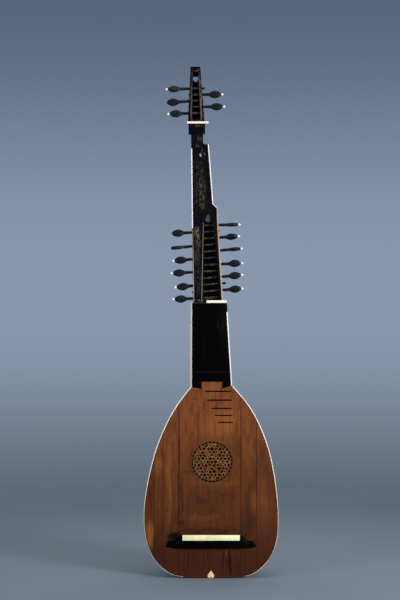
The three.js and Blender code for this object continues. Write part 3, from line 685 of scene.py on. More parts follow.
# The upper pegbox is rubbed pale along its cheeks and has a brown stain over the hanging hole; its
# channel gets painted shade
HEAD_WOOD = replace(
    STAINED_WOOD, label="worn pearwood",
    wear=(
        Mark(-52.4, 1256, 4, 66, 0.5, "#857c76"), Mark(-27.6, 1246, 4, 60, 0.55, "#93847a"),
        Mark(-38, 1206.5, 22, 5, 0.7, "#7c6a62"), Mark(-38, 1341, 10, 4, 0.5, "#5e5750"),
        Mark(-32.5, 1300, 4.5, 44, 0.45, "#8d8580"), Mark(-49.5, 1320, 4, 34, 0.35, "#6c625e"),
    ),
    dirt=(Mark(-41.4, 1332, 6.5, 6.5, 1.0, "#2e130b"),), seams=(), broken=0.6,
)

# Pegs are stained pearwood with a greyish hand polish
PEG_WOOD = PegWood(
    label="peg pearwood", slot="peg_wood", base="#1a1c22", dark="#050507",
    grain=Figure(size=1.2, along=Along.ACROSS, detail=4),
    cloud=Figure(size=6, along=Along.EVEN, shift=0.7),
    contrast=0.5, clouding=0.9, roughness=0.32, rough_spread=0.2, specular=0.22, relief=0.03,
)

# Polished ivory: creamy, faintly streaked, with light under its surface
IVORY = Finish(
    label="ivory", slot="ivory", base="#f6f2ea", dark="#ddd0b4",
    grain=Figure(size=1.0, detail=3), cloud=Figure(size=16, shift=1.1),
    contrast=0.25, clouding=0.3, roughness=0.28, coat=0.1, relief=0.01, subsurface=0.1,
)

# Ivory on the body's edge has darkened low down
BINDING_IVORY = replace(
    IVORY, label="edge ivory", base="#f1e3d6", dark="#cbb8a0", dirt=(
        Mark(-150, 120, 60, 170, 0.9), Mark(150, 120, 60, 170, 0.8), Mark(-80, 0, 60, 60, 0.7),
        Mark(80, 0, 60, 60, 0.7),
    ),
    dirt_and_shade_colour="#8a8065", broken=0.2, bend=6,
)

# The pips on the pegs were turned from the whitest pieces
PIP_IVORY = replace(IVORY, label="turned ivory", base="#fffdf9", dark="#efe9dc", contrast=0.1)

# The neck's bass edging has greyed under the hand
GREY_IVORY = replace(IVORY, label="greyed ivory", base="#bdbcae", dark="#8f8d80")

# Along the extension, which no hand touches, it has stayed white
WHITE_IVORY = replace(IVORY, label="white ivory", base="#f5f4fb", dark="#dcd7d6")

# The bridge's plate has yellowed under the strings, more so at its bass end
PLATE_IVORY = replace(IVORY, label="yellowed ivory", base="#f6f7cc", dark="#e2daa0")
PLATE_IVORY_BASS = replace(PLATE_IVORY, label="browned ivory", base="#f0eebb", dark="#d8cd90")

# The heart is an older, browner piece
HEART_IVORY = replace(IVORY, label="old ivory", base="#eee4b4", dark="#c8ad70", contrast=0.4)

# Bone has short open pores that take dirt, and turns pinkish brown at worn edges
BONE = Finish(
    label="bone", slot="bone_edging", base="#cdb698", dark="#8a6347",
    grain=Figure(size=1.1, detail=4), cloud=Figure(size=12, low=0.45, high=0.6, shift=2.4),
    contrast=0.5, clouding=0.6, roughness=0.4, relief=0.02,
)

# Grey boxwood-and-dirt line let into the front of the pegbox
LINE_WOOD = replace(BONE, label="greyed boxwood", base="#77756c", dark="#3c3831")

# Black-dyed veneer on edge, let in beside the binding
DARK_LINE = replace(FRET_WOOD, label="dyed veneer", base="#150a06", dark="#080403")

# Bare pearwood on the arrises where the stain has gone
WORN_ARRIS = replace(
    BONE, label="bare pearwood", base="#6f6650", dark="#3b3124",
    wear=(Mark(-48, 775, 8, 60, 0.9), Mark(-49, 840, 8, 50, 0.5)), wear_and_highlight_colour="#a58a76",
)

# The short arris under the collar is polished grey
STUB_ARRIS = replace(BONE, label="polished arris", base="#8f8a8c", dark="#4a4546")


@cache
def material_of(finish: Finish) -> Material:
    """Gives the finish's material, built once."""
    return finish.make()


def spline(points: Sequence[tuple[float, ...]], t: float) -> tuple[float, ...]:
    """Gives a point of a smooth curve through points.

    Args:
        points: the points that the curve passes.
        t: share of the way along the list of points.

    Returns:
        The curve's point.
    """
    place = t * (len(points) - 1)
    index = min(int(place), len(points) - 2)
    t = place - index
    start, end = points[index], points[index + 1]
    before = points[index - 1] if index else [2 * b - c for b, c in zip(start, end)]
    last = index + 2 == len(points)
    after = [2 * c - b for b, c in zip(start, end)] if last else points[index + 2]
    result = []
    for a, b, c, d in zip(before, start, end, after):
        slope_in, slope_out = (c - a) / 2, (d - b) / 2
        cubic = 2 * b - 2 * c + slope_in + slope_out
        square = 3 * (c - b) - 2 * slope_in - slope_out
        result.append(((cubic * t + square) * t + slope_in) * t + b)
    return tuple(result)


def mix(low: float, high: float, share: float) -> float:
    """Gives the value a share of the way from low to high."""
    return low + (high - low) * share


# Outline of the body from the tail: half the width there, the height, and how far the middle
# lies to the treble side. Heights are shares of the length, the rest of half the width.
OUTLINE_SHARES = (
    (0, 0, 0.004), (0.385, 0.005, 0.005), (0.612, 0.021, 0.006), (0.797, 0.073, 0.004),
    (0.912, 0.135, 0.003), (0.982, 0.219, 0), (1, 0.322, -0.005), (0.98, 0.427, -0.003),
    (0.923, 0.552, 0.007), (0.834, 0.677, 0.015), (0.693, 0.802, 0.02), (0.523, 0.906, 0.02),
)
OUTLINE_STEPS = 600


@dataclass(frozen=True)
class BodyShape:
    """The skin of the bowl and the edge of the soundboard as smooth surfaces.

    Attributes:
        half_width: half the body's width.
        neck_half_width: half the width at the neck joint.
        depth: the bowl's depth at its widest height.
        neck_depth: the bowl's depth at the neck joint.
        widest_share: height of the widest place, as a share of the length.
        neck_lean: how far the joint's middle lies to the treble side.
        seat: gap between the soundboard and the bowl.
        widening: share of the edge's length up to which it surely still widens.
        halvings: how often a search along the edge halves its range.
        step: share of the edge, and angle, over which a slope is taken.
    """

    half_width: float = 177.9 * MM
    neck_half_width: float = 54.9 * MM
    depth: float = 148 * MM
    neck_depth: float = 34 * MM
    widest_share: float = 0.322
    neck_lean: float = 1.78 * MM
    seat: float = 0.3 * MM
    widening: float = 0.4
    halvings: int = 30
    step: float = 0.002

    @property
    def length(self) -> float:
        """The body's length from the tail to the neck joint."""
        return NECK_JOINT - TAIL

    def edge(self, u: float) -> tuple[float, ...]:
        """Measures the outline at a point of the edge.

        Args:
            u: share of the edge's length from the tail.

        Returns:
            Half the width, the height above the tail and the middle to the treble side.
        """
        points, runs = edge_table(self)
        index = max(bisect_left(runs, u * runs[-1]), 1)
        step = runs[index] - runs[index - 1]
        share = (u * runs[-1] - runs[index - 1]) / step
        return tuple(mix(a, b, share) for a, b in zip(points[index - 1], points[index]))

    def share_at(self, half_width: float) -> float:
        """Finds where the tail has opened to a half width.

        Args:
            half_width: the half width.

        Returns:
            The share of the edge's length there.
        """
        low, high = 0.0, self.widening
        for _ in range(self.halvings):
            middle = (low + high) / 2
            if self.edge(middle)[0] < half_width:
                low = middle
            else:
                high = middle
        return low

    def skin(self, u: float, angle: float) -> Vector:
        """Gives a point of the bowl's outside.

        Args:
            u: share of the edge's length from the tail.
            angle: angle from the treble edge.

        Returns:
            The point.
        """
        width, height, lean = self.edge(u)
        widest_ratio = self.depth / self.half_width
        neck_ratio = self.neck_depth / self.neck_half_width
        share = (height / self.length - self.widest_share) / (1 - self.widest_share)
        deep = width * mix(widest_ratio, neck_ratio, share) * math.sin(angle)
        across = CENTRE + lean + width * math.cos(angle)
        return Vector((across, BOARD_BACK + self.seat + deep, TAIL + height))

    def ways(self, u: float, angle: float) -> tuple[Vector, Vector]:
        """Gives two ways at a point of the bowl's outside.

        Args:
            u: share of the edge's length from the tail.
            angle: angle from the treble edge.

        Returns:
            The way round the bowl, away from the treble edge, and the way into it.
        """
        high, low = min(u + self.step, 1), max(u - self.step, 0)
        along = self.skin(high, angle) - self.skin(low, angle)
        around = self.skin(u, angle + self.step) - self.skin(u, angle - self.step)
        return around.normalized(), along.cross(around).normalized()

    def inset(self, u: float, angle: float, depth: float) -> Vector:
        """Gives a point under the bowl's outside, in the joint's plane at the neck.

        Args:
            u: share of the edge's length from the tail.
            angle: angle from the treble edge.
            depth: depth under the outside.

        Returns:
            The point.
        """
        point = self.skin(u, angle) + self.ways(u, angle)[1] * depth
        if u >= 1:
            point.z = TAIL + self.length
        return point

    def front(self, u: float, side: Side, depth: float) -> tuple[float, float]:
        """Gives a point of the edge on the front, from the centre line and the tail."""
        point = self.inset(u, 0 if side is Side.TREBLE else math.pi, depth)
        return point.x - CENTRE, point.z - TAIL


@cache
def edge_table(shape: BodyShape) -> tuple[list[tuple[float, ...]], list[float]]:
    """Measures the outline.

    Args:
        shape: the body.

    Returns:
        Close points of the outline, and the length of the edge up to each.
    """
    knots = [
        (width * shape.half_width, height * shape.length, lean * shape.half_width)
        for width, height, lean in OUTLINE_SHARES
    ]
    knots.append((shape.neck_half_width, shape.length, shape.neck_lean))
    points = [spline(knots, i / OUTLINE_STEPS) for i in range(OUTLINE_STEPS + 1)]
    runs = [0.0]
    for start, end in zip(points, points[1:]):
        runs.append(runs[-1] + math.dist(start, end))
    return points, runs


BODY = BodyShape()


def weld(bm: BMesh) -> None:
    """Makes one vertex of those that lie in one place."""
    bmesh.ops.remove_doubles(bm, verts=bm.verts[:], dist=MERGE)


def sheet(along: int, across: int) -> BMesh:
    """Starts a sheet of faces that knows each point's share along and across it.

    Args:
        along: faces along the sheet.
        across: faces across it.

    Returns:
        A grid whose vertices hold their two shares in layers of their own.
    """
    bm = bmesh.new()
    bmesh.ops.create_grid(bm, x_segments=along, y_segments=across, size=0.5)
    first = bm.verts.layers.float.new("along")
    second = bm.verts.layers.float.new("across")
    for vert in bm.verts:
        vert[first], vert[second] = vert.co.x + 0.5, vert.co.y + 0.5
    return bm


# Gives a point for a share along a sheet, a share across it and a depth. Each piece made from a
# sheet has one of its own, called surface.
Surface = Callable[[float, float, float], Vector]


def lay(bm: BMesh, verts: Sequence[BMVert], surface: Surface, depth: float) -> None:
    """Moves vertices of a sheet to the places that their shares give.

    Args:
        bm: the sheet.
        verts: its vertices to move.
        surface: the surface that they come to lie on.
        depth: their depth.
    """
    first, second = bm.verts.layers.float["along"], bm.verts.layers.float["across"]
    for vert in verts:
        vert.co = surface(vert[first], vert[second], depth)


def grow(bm: BMesh) -> list[BMVert]:
    """Closes a sheet with a second side, whose vertices it gives."""
    grown = bmesh.ops.extrude_face_region(bm, geom=bm.faces[:])
    return [item for item in grown["geom"] if isinstance(item, BMVert)]


def slab(along: int, across: int, surface: Surface, top: float, bottom: float) -> BMesh:
    """Models a closed slab between two depths of a surface.

    Args:
        along: faces along the slab.
        across: faces across it.
        surface: the surface that both sides follow.
        top: depth of its first side.
        bottom: depth of its second side.

    Returns:
        The slab.
    """
    bm = sheet(along, across)
    lay(bm, bm.verts, surface, top)
    lay(bm, grow(bm), surface, bottom)
    return bm


def as_mesh(bm: BMesh, name: str) -> Mesh:
    """Turns a modelled shape into a mesh, and frees the shape.

    Args:
        bm: the shape.
        name: the mesh's name.

    Returns:
        The mesh.
    """
    mesh = bpy.data.meshes.new(name)
    bm.to_mesh(mesh)
    bm.free()
    return mesh


def cut(bm: BMesh, point: Sequence[float], way: Sequence[float], keep: bool = True) -> None:
    """Cuts a shape along a plane.

    Args:
        bm: the shape.
        point: a point of the plane.
        way: the plane's normal.
        keep: whether the side that the normal points to stays.
    """
    bmesh.ops.bisect_plane(bm, geom=bm.verts[:] + bm.edges[:] + bm.faces[:], plane_co=point,
                           plane_no=way, clear_outer=not keep)


def plate(outline: Sequence[tuple[float, float]], front: float, back: float,
          hole: Sequence[tuple[float, float]] = ()) -> BMesh:
    """Models a flat plate from its outline seen from the front.

    Args:
        outline: points across and up, in order.
        front: depth of its front face.
        back: depth of its back face.
        hole: outline of a hole, if there is one, with as many points as the outline.

    Returns:
        The plate.
    """
    bm = bmesh.new()
    for points in (outline, hole) if hole else (outline,):
        ring = bmesh.ops.create_circle(bm, segments=len(points), radius=1)["verts"]
        for vert, (x, z) in zip(ring, points):
            vert.co = (x, front, z)
    if hole:
        bmesh.ops.bridge_loops(bm, edges=bm.edges[:])
    else:
        bmesh.ops.contextual_create(bm, geom=bm.edges[:])
    bmesh.ops.translate(bm, verts=grow(bm), vec=(0, back - front, 0))
    return bm


def turned(profile: Sequence[tuple[float, float]], steps: int) -> BMesh:
    """Models a lathe-turned shape about Z.

    Args:
        profile: height and radius of each station, from axis to axis.
        steps: faces round the shape.

    Returns:
        The closed shape.
    """
    bm = bmesh.new()
    verts = [bm.verts.new((radius, 0, height)) for height, radius in profile]
    edges = [bm.edges.new(pair) for pair in zip(verts, verts[1:])]
    bmesh.ops.spin(bm, geom=verts + edges, cent=(0, 0, 0), axis=(0, 0, 1),
                   angle=math.tau, steps=steps, use_merge=True)
    weld(bm)
    return bm


def bevel_arrises(bm: BMesh, radius: float, shortest: float = 0.0) -> None:
    """Takes the sharp arrises off a closed shape.

    Args:
        bm: the shape.
        radius: width of the bevel.
        shortest: edges shorter than this stay sharp.
    """
    weld(bm)
    bmesh.ops.recalc_face_normals(bm, faces=bm.faces[:])
    sharp = [
        edge for edge in bm.edges
        if edge.is_manifold and edge.calc_length() > shortest
        and edge.calc_face_angle(0) > ARRIS
    ]
    bmesh.ops.bevel(bm, geom=sharp, offset=radius, offset_type="OFFSET", affect="EDGES",
                    segments=2, profile=0.5, material=-1, clamp_overlap=True)


def copied(node: str) -> BMesh:
    """Copies a CAD piece, with each flat face in one.

    Args:
        node: the piece's name.

    Returns:
        The copy.
    """
    bm = bmesh.new()
    bm.from_mesh(frame["nodes"][node].data)
    weld(bm)
    bmesh.ops.dissolve_limit(bm, angle_limit=FLAT, verts=bm.verts[:], edges=bm.edges[:])
    return bm


def softened(node: str, radius: float, shortest: float = 0.0) -> BMesh:
    """Copies a CAD piece and takes its sharp arrises off.

    Args:
        node: the piece's name.
        radius: width of the bevel.
        shortest: edges shorter than this stay sharp.

    Returns:
        The copy.
    """
    bm = copied(node)
    bevel_arrises(bm, radius, shortest)
    return bm


def settle(bm: BMesh, name: str, finish: Finish, nodes: Sequence[str] = (),
           body: str = "instrument") -> None:
    """Turns a modelled shape into a finished piece of the instrument.

    Args:
        bm: the shape, closed and in place.
        name: the piece's name.
        finish: its finish.
        nodes: the CAD pieces that it stands for.
        body: the body that it moves with.
    """
    weld(bm)
    bmesh.ops.recalc_face_normals(bm, faces=bm.faces[:])
    for face in bm.faces:
        face.smooth = True
    for edge in bm.edges:
        edge.smooth = edge.is_manifold and edge.calc_face_angle(0) < CREASE
    mesh = as_mesh(bm, name)
    normals = mesh.attributes.get("custom_normal")
    if normals:
        mesh.attributes.remove(normals)
    mesh.materials.append(material_of(finish))
    piece = add_object(name, mesh)
    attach(piece, body)
    if nodes:
        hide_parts(*nodes)
    LOG.info("%s: %d faces of %s on %s", name, len(mesh.polygons), finish.label, body)


def dress(node: str, finish: Finish) -> None:
    """Gives a CAD piece that stays as it is its finish.

    Args:
        node: the piece's name.
        finish: its finish.
    """
    materials = frame["nodes"][node].data.materials
    materials.clear()
    materials.append(material_of(finish))
    LOG.info("%s: kept, in %s", node, finish.label)


@dataclass
class Bowl:
    """The ribbed bowl with the purfling between its ribs, its end clasp and its inner pieces.

    Attributes:
        ribs: number of ribs.
        thickness: thickness of a rib.
        clasp_thickness: thickness of the end clasp.
        clasp_reach: how far the clasp comes down the bowl from the soundboard.
        clasp_height: how far it climbs along the edge.
        clasp_share: share of the edge up to which it is modelled before it is cut.
        clasp_inside: share of the edge where its inside begins, off the tail's point, at which
            the skin has no slope.
        clasp_steps: faces up the clasp and round it.
        tail_start: share of the edge where the ribs begin.
        purfling: width of the pale strip between two ribs.
        proud: how far the purfling stands out.
        sunk_share: how far it reaches into the ribs, as a share of their thickness.
        steps: faces along a rib.
        grain_length: length of a rib on its map, in metres.
        grain_width: width of a rib on its map.
        grain_shift: distance between two ribs on their maps, so that they differ.
        inner: the CAD pieces inside, which stay as they are.
    """

    ribs: int = 11
    thickness: float = 1.8 * MM
    clasp_thickness: float = 1.5 * MM
    clasp_reach: float = 34 * MM
    clasp_height: float = 76 * MM
    clasp_share: float = 0.2
    clasp_inside: float = 0.004
    clasp_steps: tuple[int, int] = (40, 44)
    tail_start: float = 0.02
    purfling: float = 0.9 * MM
    proud: float = 0.12 * MM
    sunk_share: float = 0.7
    steps: int = 72
    grain_length: float = 0.62
    grain_width: float = 0.055
    grain_shift: float = 0.2
    inner: tuple[str, ...] = (
        "neck_block", "end_liner", "tail_bar", "bridge_bar", "lower_rose_bar", "upper_rose_bar")

    @property
    def rib_inset(self) -> float:
        """Depth of the ribs' outside under the clasp's."""
        return self.clasp_thickness + BODY.seat

    def share(self, along: float) -> float:
        """Gives the share of the body's edge for a share of a rib."""
        return mix(self.tail_start, 1, along)

    def angle(self, line: float) -> float:
        """Gives the angle of a line between two ribs."""
        return math.pi * line / self.ribs

    def rib(self, number: int) -> BMesh:
        """Models one rib, flat across and bent along.

        Args:
            number: its number from the treble edge, from 0.

        Returns:
            The rib with its grain mapped.
        """
        def surface(along: float, across: float, depth: float) -> Vector:
            """Gives a point on the straight way from one of the rib's lines to the next."""
            u = self.share(along)
            first, last = (BODY.inset(u, self.angle(number + i), depth) for i in (0, 1))
            trim = self.purfling / 2 / (last - first).length
            low = 0 if number == 0 else trim
            high = 1 if number == self.ribs - 1 else 1 - trim
            return first.lerp(last, mix(low, high, across))
        bm = slab(self.steps, 3, surface, self.rib_inset, self.rib_inset + self.thickness)
        self.map_grain(bm, number)
        return bm

    def map_grain(self, bm: BMesh, number: int) -> None:
        """Gives a rib a map in metres, with V along the grain.

        Args:
            bm: the rib.
            number: its number.
        """
        chart = bm.loops.layers.uv.new("grain")
        first, second = bm.verts.layers.float["along"], bm.verts.layers.float["across"]
        for face in bm.faces:
            for corner in face.loops:
                across = corner.vert[second] * self.grain_width + self.grain_shift * number
                corner[chart].uv = (across, corner.vert[first] * self.grain_length)

    def strip(self, line: int) -> BMesh:
        """Models the purfling on one line between two ribs.

        Args:
            line: the line's number from the treble edge.

        Returns:
            The strip.
        """
        def surface(along: float, across: float, depth: float) -> Vector:
            """Gives a point beside the line, along the skin."""
            u, angle = self.share(along), self.angle(line)
            around, _ = BODY.ways(u, angle)
            return BODY.inset(u, angle, depth) + around * self.purfling * (across - 0.5)
        bottom = self.rib_inset + self.sunk_share * self.thickness
        return slab(self.steps, 2, surface, self.rib_inset - self.proud, bottom)

    def clasp(self) -> BMesh:
        """Models the clasp: the skin's lowest part, cut along its reach and its height.

        Returns:
            The clasp.
        """
        def surface(along: float, across: float, depth: float) -> Vector:
            """Gives a point under the skin near the tail."""
            u = max(self.clasp_share * along, self.clasp_inside if depth else 0)
            return BODY.inset(u, math.pi * across, depth)
        bm = sheet(*self.clasp_steps)
        lay(bm, bm.verts, surface, 0)
        weld(bm)
        cut(bm, (0, BOARD_BACK + self.clasp_reach, 0), (0, 1, 0), keep=False)
        cut(bm, (0, 0, TAIL + self.clasp_height), (0, 0, 1), keep=False)
        lay(bm, grow(bm), surface, self.clasp_thickness)
        return bm

    def build(self) -> None:
        """Builds the ribs, the purfling and the clasp, and dresses the inner pieces."""
        for number in range(self.ribs):
            name = f"rib_{number + 1:02d}"
            settle(self.rib(number), f"{name}_bent", RIB_WOOD, [name])
        for line in range(1, self.ribs):
            settle(self.strip(line), f"rib_purfling_{line:02d}", BONE)
        settle(self.clasp(), "end_clasp_bent", CLASP_WOOD, ["end_clasp"])
        for node in self.inner:
            dress(node, BARE_SPRUCE)


# A sixth of a turn, the angle between two families of the rose's strands
SIXTH = math.tau / 6


@dataclass(frozen=True)
class Rose:
    """The rose carved in the soundboard: three families of woven strands, rings and a border.

    Attributes:
        middle: its middle above the tail.
        lean: how far its middle lies to the treble side of the centre line.
        radius: radius of the opening.
        pitch: distance between two strands of a family.
        strand: width of a strand.
        depth: depth of a strand's top in the board, halfway between two crossings.
        weave: how far a strand rises and sinks at its crossings.
        crown: how far its top falls off to both sides.
        sway: how far a strand sways sideways, which makes large and small holes.
        sway_length: length of one sway, in cells.
        sway_starts: how far the sway is on from one family to the next and from one strand to
            the next, uneven so that no two neighbours sway together.
        cell_steps: faces along a strand in a cell.
        thickness: thickness of a strand.
        field_radius: radius of the woven field inside the border.
        overlap: how far a strand runs on under the border.
        ring_radius: radius of the seven rings laid in the field.
        ring_width: width of these rings.
        ring_depth: depth of their tops in the board.
        ring_waves: number of times that each of them rises and sinks by as much.
        ring_steps: faces round a ring for each millimetre of its radius.
        border_width: width of the border's two rings.
        border_depths: depths of the tops of the inner and the outer ring.
        border_inset: how far the outer ring's middle line lies inside the opening.
        teeth: number of bars in the border.
        tooth_width: width of a bar.
        tooth_slant: angle that it leans by.
        tooth_run: how far it runs on beyond the opening's edge.
        tooth_depths: depths of its front and its back.
    """

    middle: float = 0.604 * BODY.length
    lean: float = 1.4 * MM
    radius: float = 55 * MM
    pitch: float = 8.6 * MM
    strand: float = 1.4 * MM
    depth: float = 0.45 * MM
    weave: float = 0.3 * MM
    crown: float = 0.12 * MM
    sway: float = 1.3 * MM
    sway_length: float = 2.6
    sway_starts: tuple[float, float] = (2.1, 1.9)
    cell_steps: int = 8
    thickness: float = 0.8 * MM
    field_radius: float = 48.3 * MM
    overlap: float = 1.2 * MM
    ring_radius: float = 14.9 * MM
    ring_width: float = 1.2 * MM
    ring_depth: float = 0.25 * MM
    ring_waves: int = 12
    ring_steps: int = 5
    border_width: float = 2 * MM
    border_depths: tuple[float, float] = (0.9 * MM, 0.95 * MM)
    border_inset: float = 0.3 * MM
    teeth: int = 32
    tooth_width: float = 2.6 * MM
    tooth_slant: float = 0.045
    tooth_run: float = 0.6 * MM
    tooth_depths: tuple[float, float] = (1 * MM, 1.6 * MM)

    @property
    def cell(self) -> float:
        """Distance between two holes of the weave."""
        return self.pitch / math.sin(SIXTH)

    def point(self, x: float, z: float, depth: float) -> Vector:
        """Gives a point by its place from the rose's middle and its depth in the board."""
        return Vector((CENTRE + self.lean + x, FRONT + depth, TAIL + self.middle + z))

    def strand_shape(self, family: int, number: int) -> BMesh:
        """Models one strand that weaves over the next family and under the last.

        Args:
            family: 0, 1 or 2, sixty degrees apart.
            number: the strand's number from the middle.

        Returns:
            The strand.
        """
        offset = (number + 0.5) * self.pitch
        half = math.sqrt(self.field_radius ** 2 - offset ** 2) + self.overlap
        way = SIXTH * family
        start = self.sway_starts[0] * family + self.sway_starts[1] * number

        def surface(along: float, across: float, drop: float) -> Vector:
            """Gives a point of the strand, by how far it lies under its top."""
            run = mix(-half, half, along)
            swing = math.sin(math.tau * run / self.cell / self.sway_length + start)
            side = offset + (across - 0.5) * self.strand + self.sway * swing
            phase = math.tau * (run / self.cell - number / 2 + 0.25)
            fall = self.crown * (2 * across - 1) ** 2 if drop == 0 else 0
            return self.point(run * math.cos(way) - side * math.sin(way),
                              run * math.sin(way) + side * math.cos(way),
                              self.depth - self.weave * math.cos(phase) + fall + drop)
        steps = round(2 * half / self.cell * self.cell_steps)
        return slab(steps, 2, surface, 0, self.thickness)

    def ring(self, x: float, z: float, radius: float, width: float, depth: float,
             wave: int = 0) -> BMesh:
        """Models a flat ring, plain or woven up and down.

        Args:
            x: its middle across, from the rose's middle.
            z: its middle up.
            radius: radius of its middle line.
            width: its width.
            depth: depth of its top in the board.
            wave: number of rises round it.

        Returns:
            The ring.
        """
        def surface(along: float, across: float, top: float) -> Vector:
            """Gives a point of the ring's top, which falls off to both sides."""
            turn = math.tau * along
            reach = radius + (across - 0.5) * width
            lift = self.ring_depth * math.cos(wave * turn) if wave else 0
            fall = self.crown * (2 * across - 1) ** 2
            return self.point(x + reach * math.cos(turn), z + reach * math.sin(turn),
                              top - lift + fall)
        bm = sheet(round(radius / MM * self.ring_steps), 2)
        lay(bm, bm.verts, surface, depth)
        weld(bm)
        bmesh.ops.translate(bm, verts=grow(bm), vec=(0, self.thickness, 0))
        return bm

    def tooth(self, number: int) -> BMesh:
        """Models one bar of the border, set slantwise between its two rings.

        Args:
            number: the bar's number round the border.

        Returns:
            The bar.
        """
        start = math.tau * number / self.teeth

        def surface(along: float, across: float, depth: float) -> Vector:
            """Gives a point of the bar, outwards and round the border."""
            reach = mix(self.field_radius, self.radius + self.tooth_run, along)
            lean = self.tooth_slant * (along - 0.5)
            turn = start + lean + (across - 0.5) * self.tooth_width / reach
            return self.point(reach * math.cos(turn), reach * math.sin(turn), depth)
        return slab(3, 2, surface, *self.tooth_depths)

    def build(self) -> None:
        """Builds the weave, its seven rings and the border as one carving."""
        count = int(self.field_radius / self.pitch)
        shapes = [
            self.strand_shape(family, number)
            for family in range(3) for number in range(-count - 1, count + 1)
            if abs(number + 0.5) * self.pitch < self.field_radius - self.strand / 2
        ]
        away = 2 * self.ring_radius
        ways = [SIXTH * (turn + 0.5) for turn in range(6)]
        for x, z in ((0, 0), *((away * math.cos(way), away * math.sin(way)) for way in ways)):
            shapes.append(self.ring(x, z, self.ring_radius, self.ring_width, self.ring_depth,
                                    self.ring_waves))
        border = (self.field_radius, self.radius - self.border_inset)
        for radius, depth in zip(border, self.border_depths):
            shapes.append(self.ring(0, 0, radius, self.border_width, depth))
        shapes += [self.tooth(number) for number in range(self.teeth)]
        carving = bmesh.new()
        for shape in shapes:
            bmesh.ops.recalc_face_normals(shape, faces=shape.faces[:])
            part = as_mesh(shape, "rose part")
            carving.from_mesh(part)
            bpy.data.meshes.remove(part)
        settle(carving, "rose_carving", ROSE_WOOD)


# Half of the heart's outline from its point down to its notch, as shares of its width and height
HEART_HALF = (
    (0, 1), (0.05, 0.92), (0.127, 0.82), (0.24, 0.69), (0.377, 0.56), (0.48, 0.42), (0.5, 0.28),
    (0.47, 0.13), (0.37, 0.02), (0.25, -0.01), (0.11, 0.03), (0, 0.14),
)
HEART_STEPS = 36


